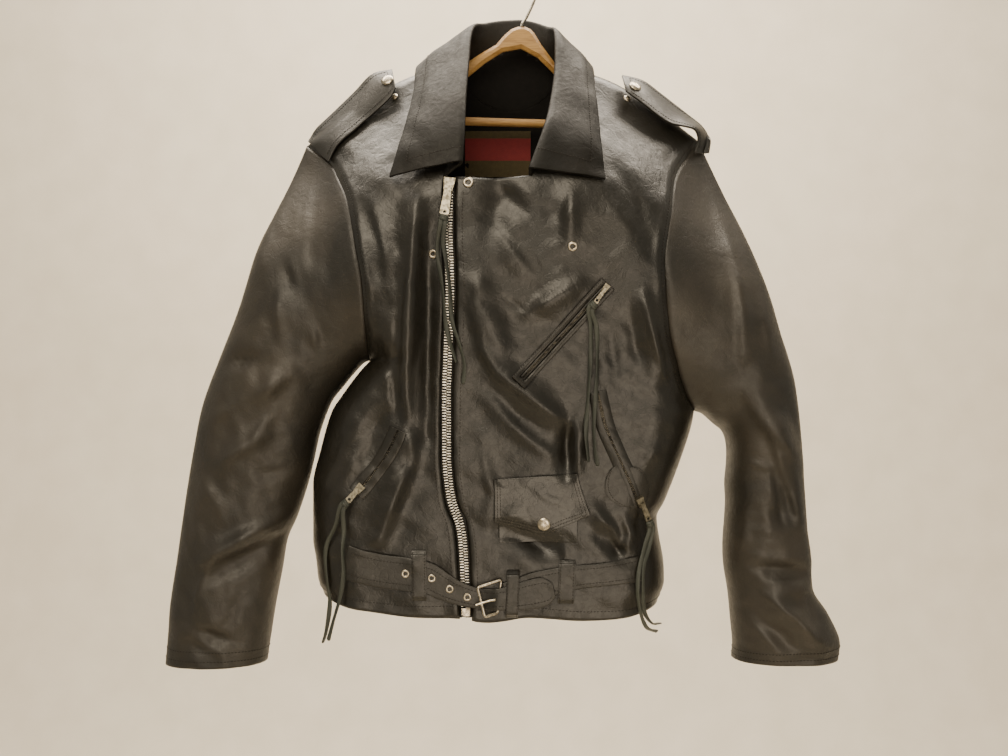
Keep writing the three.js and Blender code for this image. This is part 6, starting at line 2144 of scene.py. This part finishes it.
@dataclass
class Epaulette:
    """Shoulder strap as rows of its upper and lower edge, from the armhole to its free tip."""

    side: Side
    rows: tuple[tuple[float, float, float, float, float, float], ...]
    wall: float = 2.6
    clear: float = 4.6

    def make(self, body: Body, finishes: Finishes) -> list[Array]:
        """Builds the strap and its cap.

        Args:
            body: The body's form.
            finishes: The materials.

        Returns:
            Stitch frames.
        """
        upper = Path([r[:3] for r in self.rows])
        lower = Path([r[3:] for r in self.rows])
        t, w = np.meshgrid(np.linspace(0, 1, 61), np.linspace(0, 1, 17), indexing="ij")
        grid = mix(upper.at(t), lower.at(t), w[..., None])
        grid[..., 1] -= 3 * np.sin(np.pi * w)
        low = grid[..., 2] < body.shoulder.at(grid[..., 0]) + self.clear
        ahead = np.minimum(grid[..., 1], body.laid(grid[..., 0], grid[..., 2], self.clear)[..., 1])
        grid[..., 1] = np.where(low, ahead, grid[..., 1])
        for _ in range(4):
            grid[1:-1] = (grid[:-2] + 2 * grid[1:-1] + grid[2:]) / 4
        normals = grid_normals(grid)
        normals *= np.sign(-normals[30, 8, 1])
        name = f"epaulette_{self.side.name.lower()}"
        piece = grid_object(name + "_leather", grid, finishes.trim, thickness=self.wall, offset=0.0,
                            outward=(0, -1, 0.4), edge=0.8)
        attach(piece, "leather", name)
        declare_cut(piece, grid)
        at, normal = grid[55, 8], normals[55, 8]
        turned(f"epaulette_cap_{self.side.name.lower()}_turned", at + normal * (self.wall / 2 + 0.3), normal, CAP,
               finishes.nickel, f"epaulette_cap_{self.side.name.lower()}")
        lift = self.wall / 2 + 0.2
        rim = np.concatenate([grid[2:-4, 2], grid[-4, 2:-2], grid[2:-4, -3][::-1]])
        up = np.concatenate([normals[2:-4, 2], normals[-4, 2:-2], normals[2:-4, -3][::-1]])
        return [frames_along(rim + up * lift, up, 3.6)]


EPAULETTES = (
    Epaulette(Side.RIGHT, (
        (-254, -3, -209, -224, -34, -240), (-246, -3, -194, -216, -36, -223), (-229, -4, -178, -206, -38, -212),
        (-212, -5, -162, -196, -40, -204), (-196, -7, -147, -179, -42, -188), (-177, -11, -129, -152, -42, -163),
        (-153, -16, -125, -147, -38, -152))),
    Epaulette(Side.LEFT, (
        (224, 3, -223, 204, -28, -226), (226, 4, -205, 208, -30, -210), (218, 2, -190, 203, -36, -200),
        (203, 0, -178, 190, -40, -197), (186, -4, -166, 173, -46, -195), (165, -8, -151, 158, -48, -186),
        (144, -12, -137, 140, -46, -171), (119, -20, -133, 122, -42, -157))),
)


@dataclass
class Label:
    """Woven neck label, plain with one stripe, sewn inside the back."""

    left: float = -68
    right: float = 12
    low: float = -246
    high: float = -190

    def make(self, body: Body, finishes: Finishes) -> None:
        """Builds the label.

        Args:
            body: The body's form.
            finishes: The materials.
        """
        x, z = np.meshgrid(np.linspace(self.left, self.right, 41),
                           np.linspace(self.low, self.high, 29), indexing="ij")
        y = body.back(x, z, body.back_folds) - 2 - 1.4 + 0.3 * np.sin(x * 0.16)
        piece = grid_object("neck_label_woven", np.stack([x, y, z], axis=-1), finishes.label, thickness=0.6,
                            outward=(0, -1, 0), edge=0.15)
        attach(piece, "label_cloth", "neck_label")


@dataclass
class Buckle:
    """Bent wire frame of the belt's buckle, seen a little turned."""

    corners: tuple[tuple[float, float, float], ...] = (
        (-49.5, -722, 9.6), (-23.5, -714.5, 3.2), (-27.5, -751, 3.2), (-41.5, -754.5, 9.2))
    wire: float = 1.7
    bend: float = 3.0

    def make(self, body: Body, finishes: Finishes) -> None:
        """Builds the frame.

        Args:
            body: The body's form.
            finishes: The materials.
        """
        corner = np.array(self.corners)
        route = []
        for k in range(4):
            here, before, after = corner[k], corner[k - 1], corner[(k + 1) % 4]
            for toward in (before, after):
                step = (toward - here) / np.linalg.norm((toward - here)[:2])
                route.append(here + step * self.bend)
                route.append(mix(here, toward, 0.5) if toward is after else here + step * self.bend * 0.45)
        order = []
        for k in range(4):
            first, second, third, middle = route[4 * k:4 * k + 4]
            order += [first, second, mix(corner[k], third, 0.45), third, middle]
        line = Path(order + [order[0]], False).even(np.linspace(0, 1, 161))
        ring = body.laid(line[:, 0], line[:, 1], line[:, 2])
        for _ in range(3):
            ring[1:-1] = (ring[:-2] + 2 * ring[1:-1] + ring[2:]) / 4
        wide = np.tile(np.array([0.0, 1.0, 0.0]), (len(ring), 1))
        size = np.full(len(ring), self.wire)
        grid = ribbon_tube(ring, wide, size * 0.9, size)
        piece = grid_object("buckle_frame_wire", grid, finishes.nickel, wraps=True)
        attach(piece, "nickel", "buckle_frame")


def keep_nodes(finishes: Finishes) -> None:
    """Gives the CAD nodes that stay their materials and softened edges.

    Args:
        finishes: The materials.
    """
    kept = {"hanger_body": finishes.wood, "hanger_bar": finishes.wood, "hanger_hook": finishes.wire,
            "buckle_prong": finishes.nickel, "zip_box": finishes.nickel}
    for name in PULLS:
        kept[f"slider_{name}"] = finishes.pull
        kept[f"tab_{name}"] = finishes.pull
    for name, finish in kept.items():
        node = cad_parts[name]
        for slot in node.material_slots:
            slot.material = finish
        if name.startswith(("slider", "tab", "zip_box")):
            round_rim(node, 0.5, 40)


def main() -> None:
    """Builds the whole scene."""
    logging.basicConfig(level=logging.INFO, format="%(message)s")
    studio = Studio()
    studio.make_camera()
    body = Body()
    finishes = Finishes()
    for thong in THONGS:
        thong.make(body, finishes)
    for name in PULLS:
        Knot(name).make(finishes)
    seams = Panels().make(body, finishes)
    for sleeve in SLEEVES:
        seams += sleeve.make(body, finishes)
    seams += Collar().make(body, finishes)
    for group in (STRAPS, LOOPS, EPAULETTES):
        for item in group:
            seams += item.make(body, finishes)
    seams += Pockets().make(body, finishes)
    stitches = copies_object("stitching", stitch_template(), np.concatenate(seams), finishes.thread)
    attach(stitches, "thong_leather")
    for zipper in (main_zip(body), *POCKET_ZIPS):
        zipper.make(body, finishes)
    for item in ROUNDS:
        item.make(body, finishes)
    Label().make(body, finishes)
    Buckle().make(body, finishes)
    keep_nodes(finishes)
    studio.make_rest()


if __name__ == "__main__":
    main()
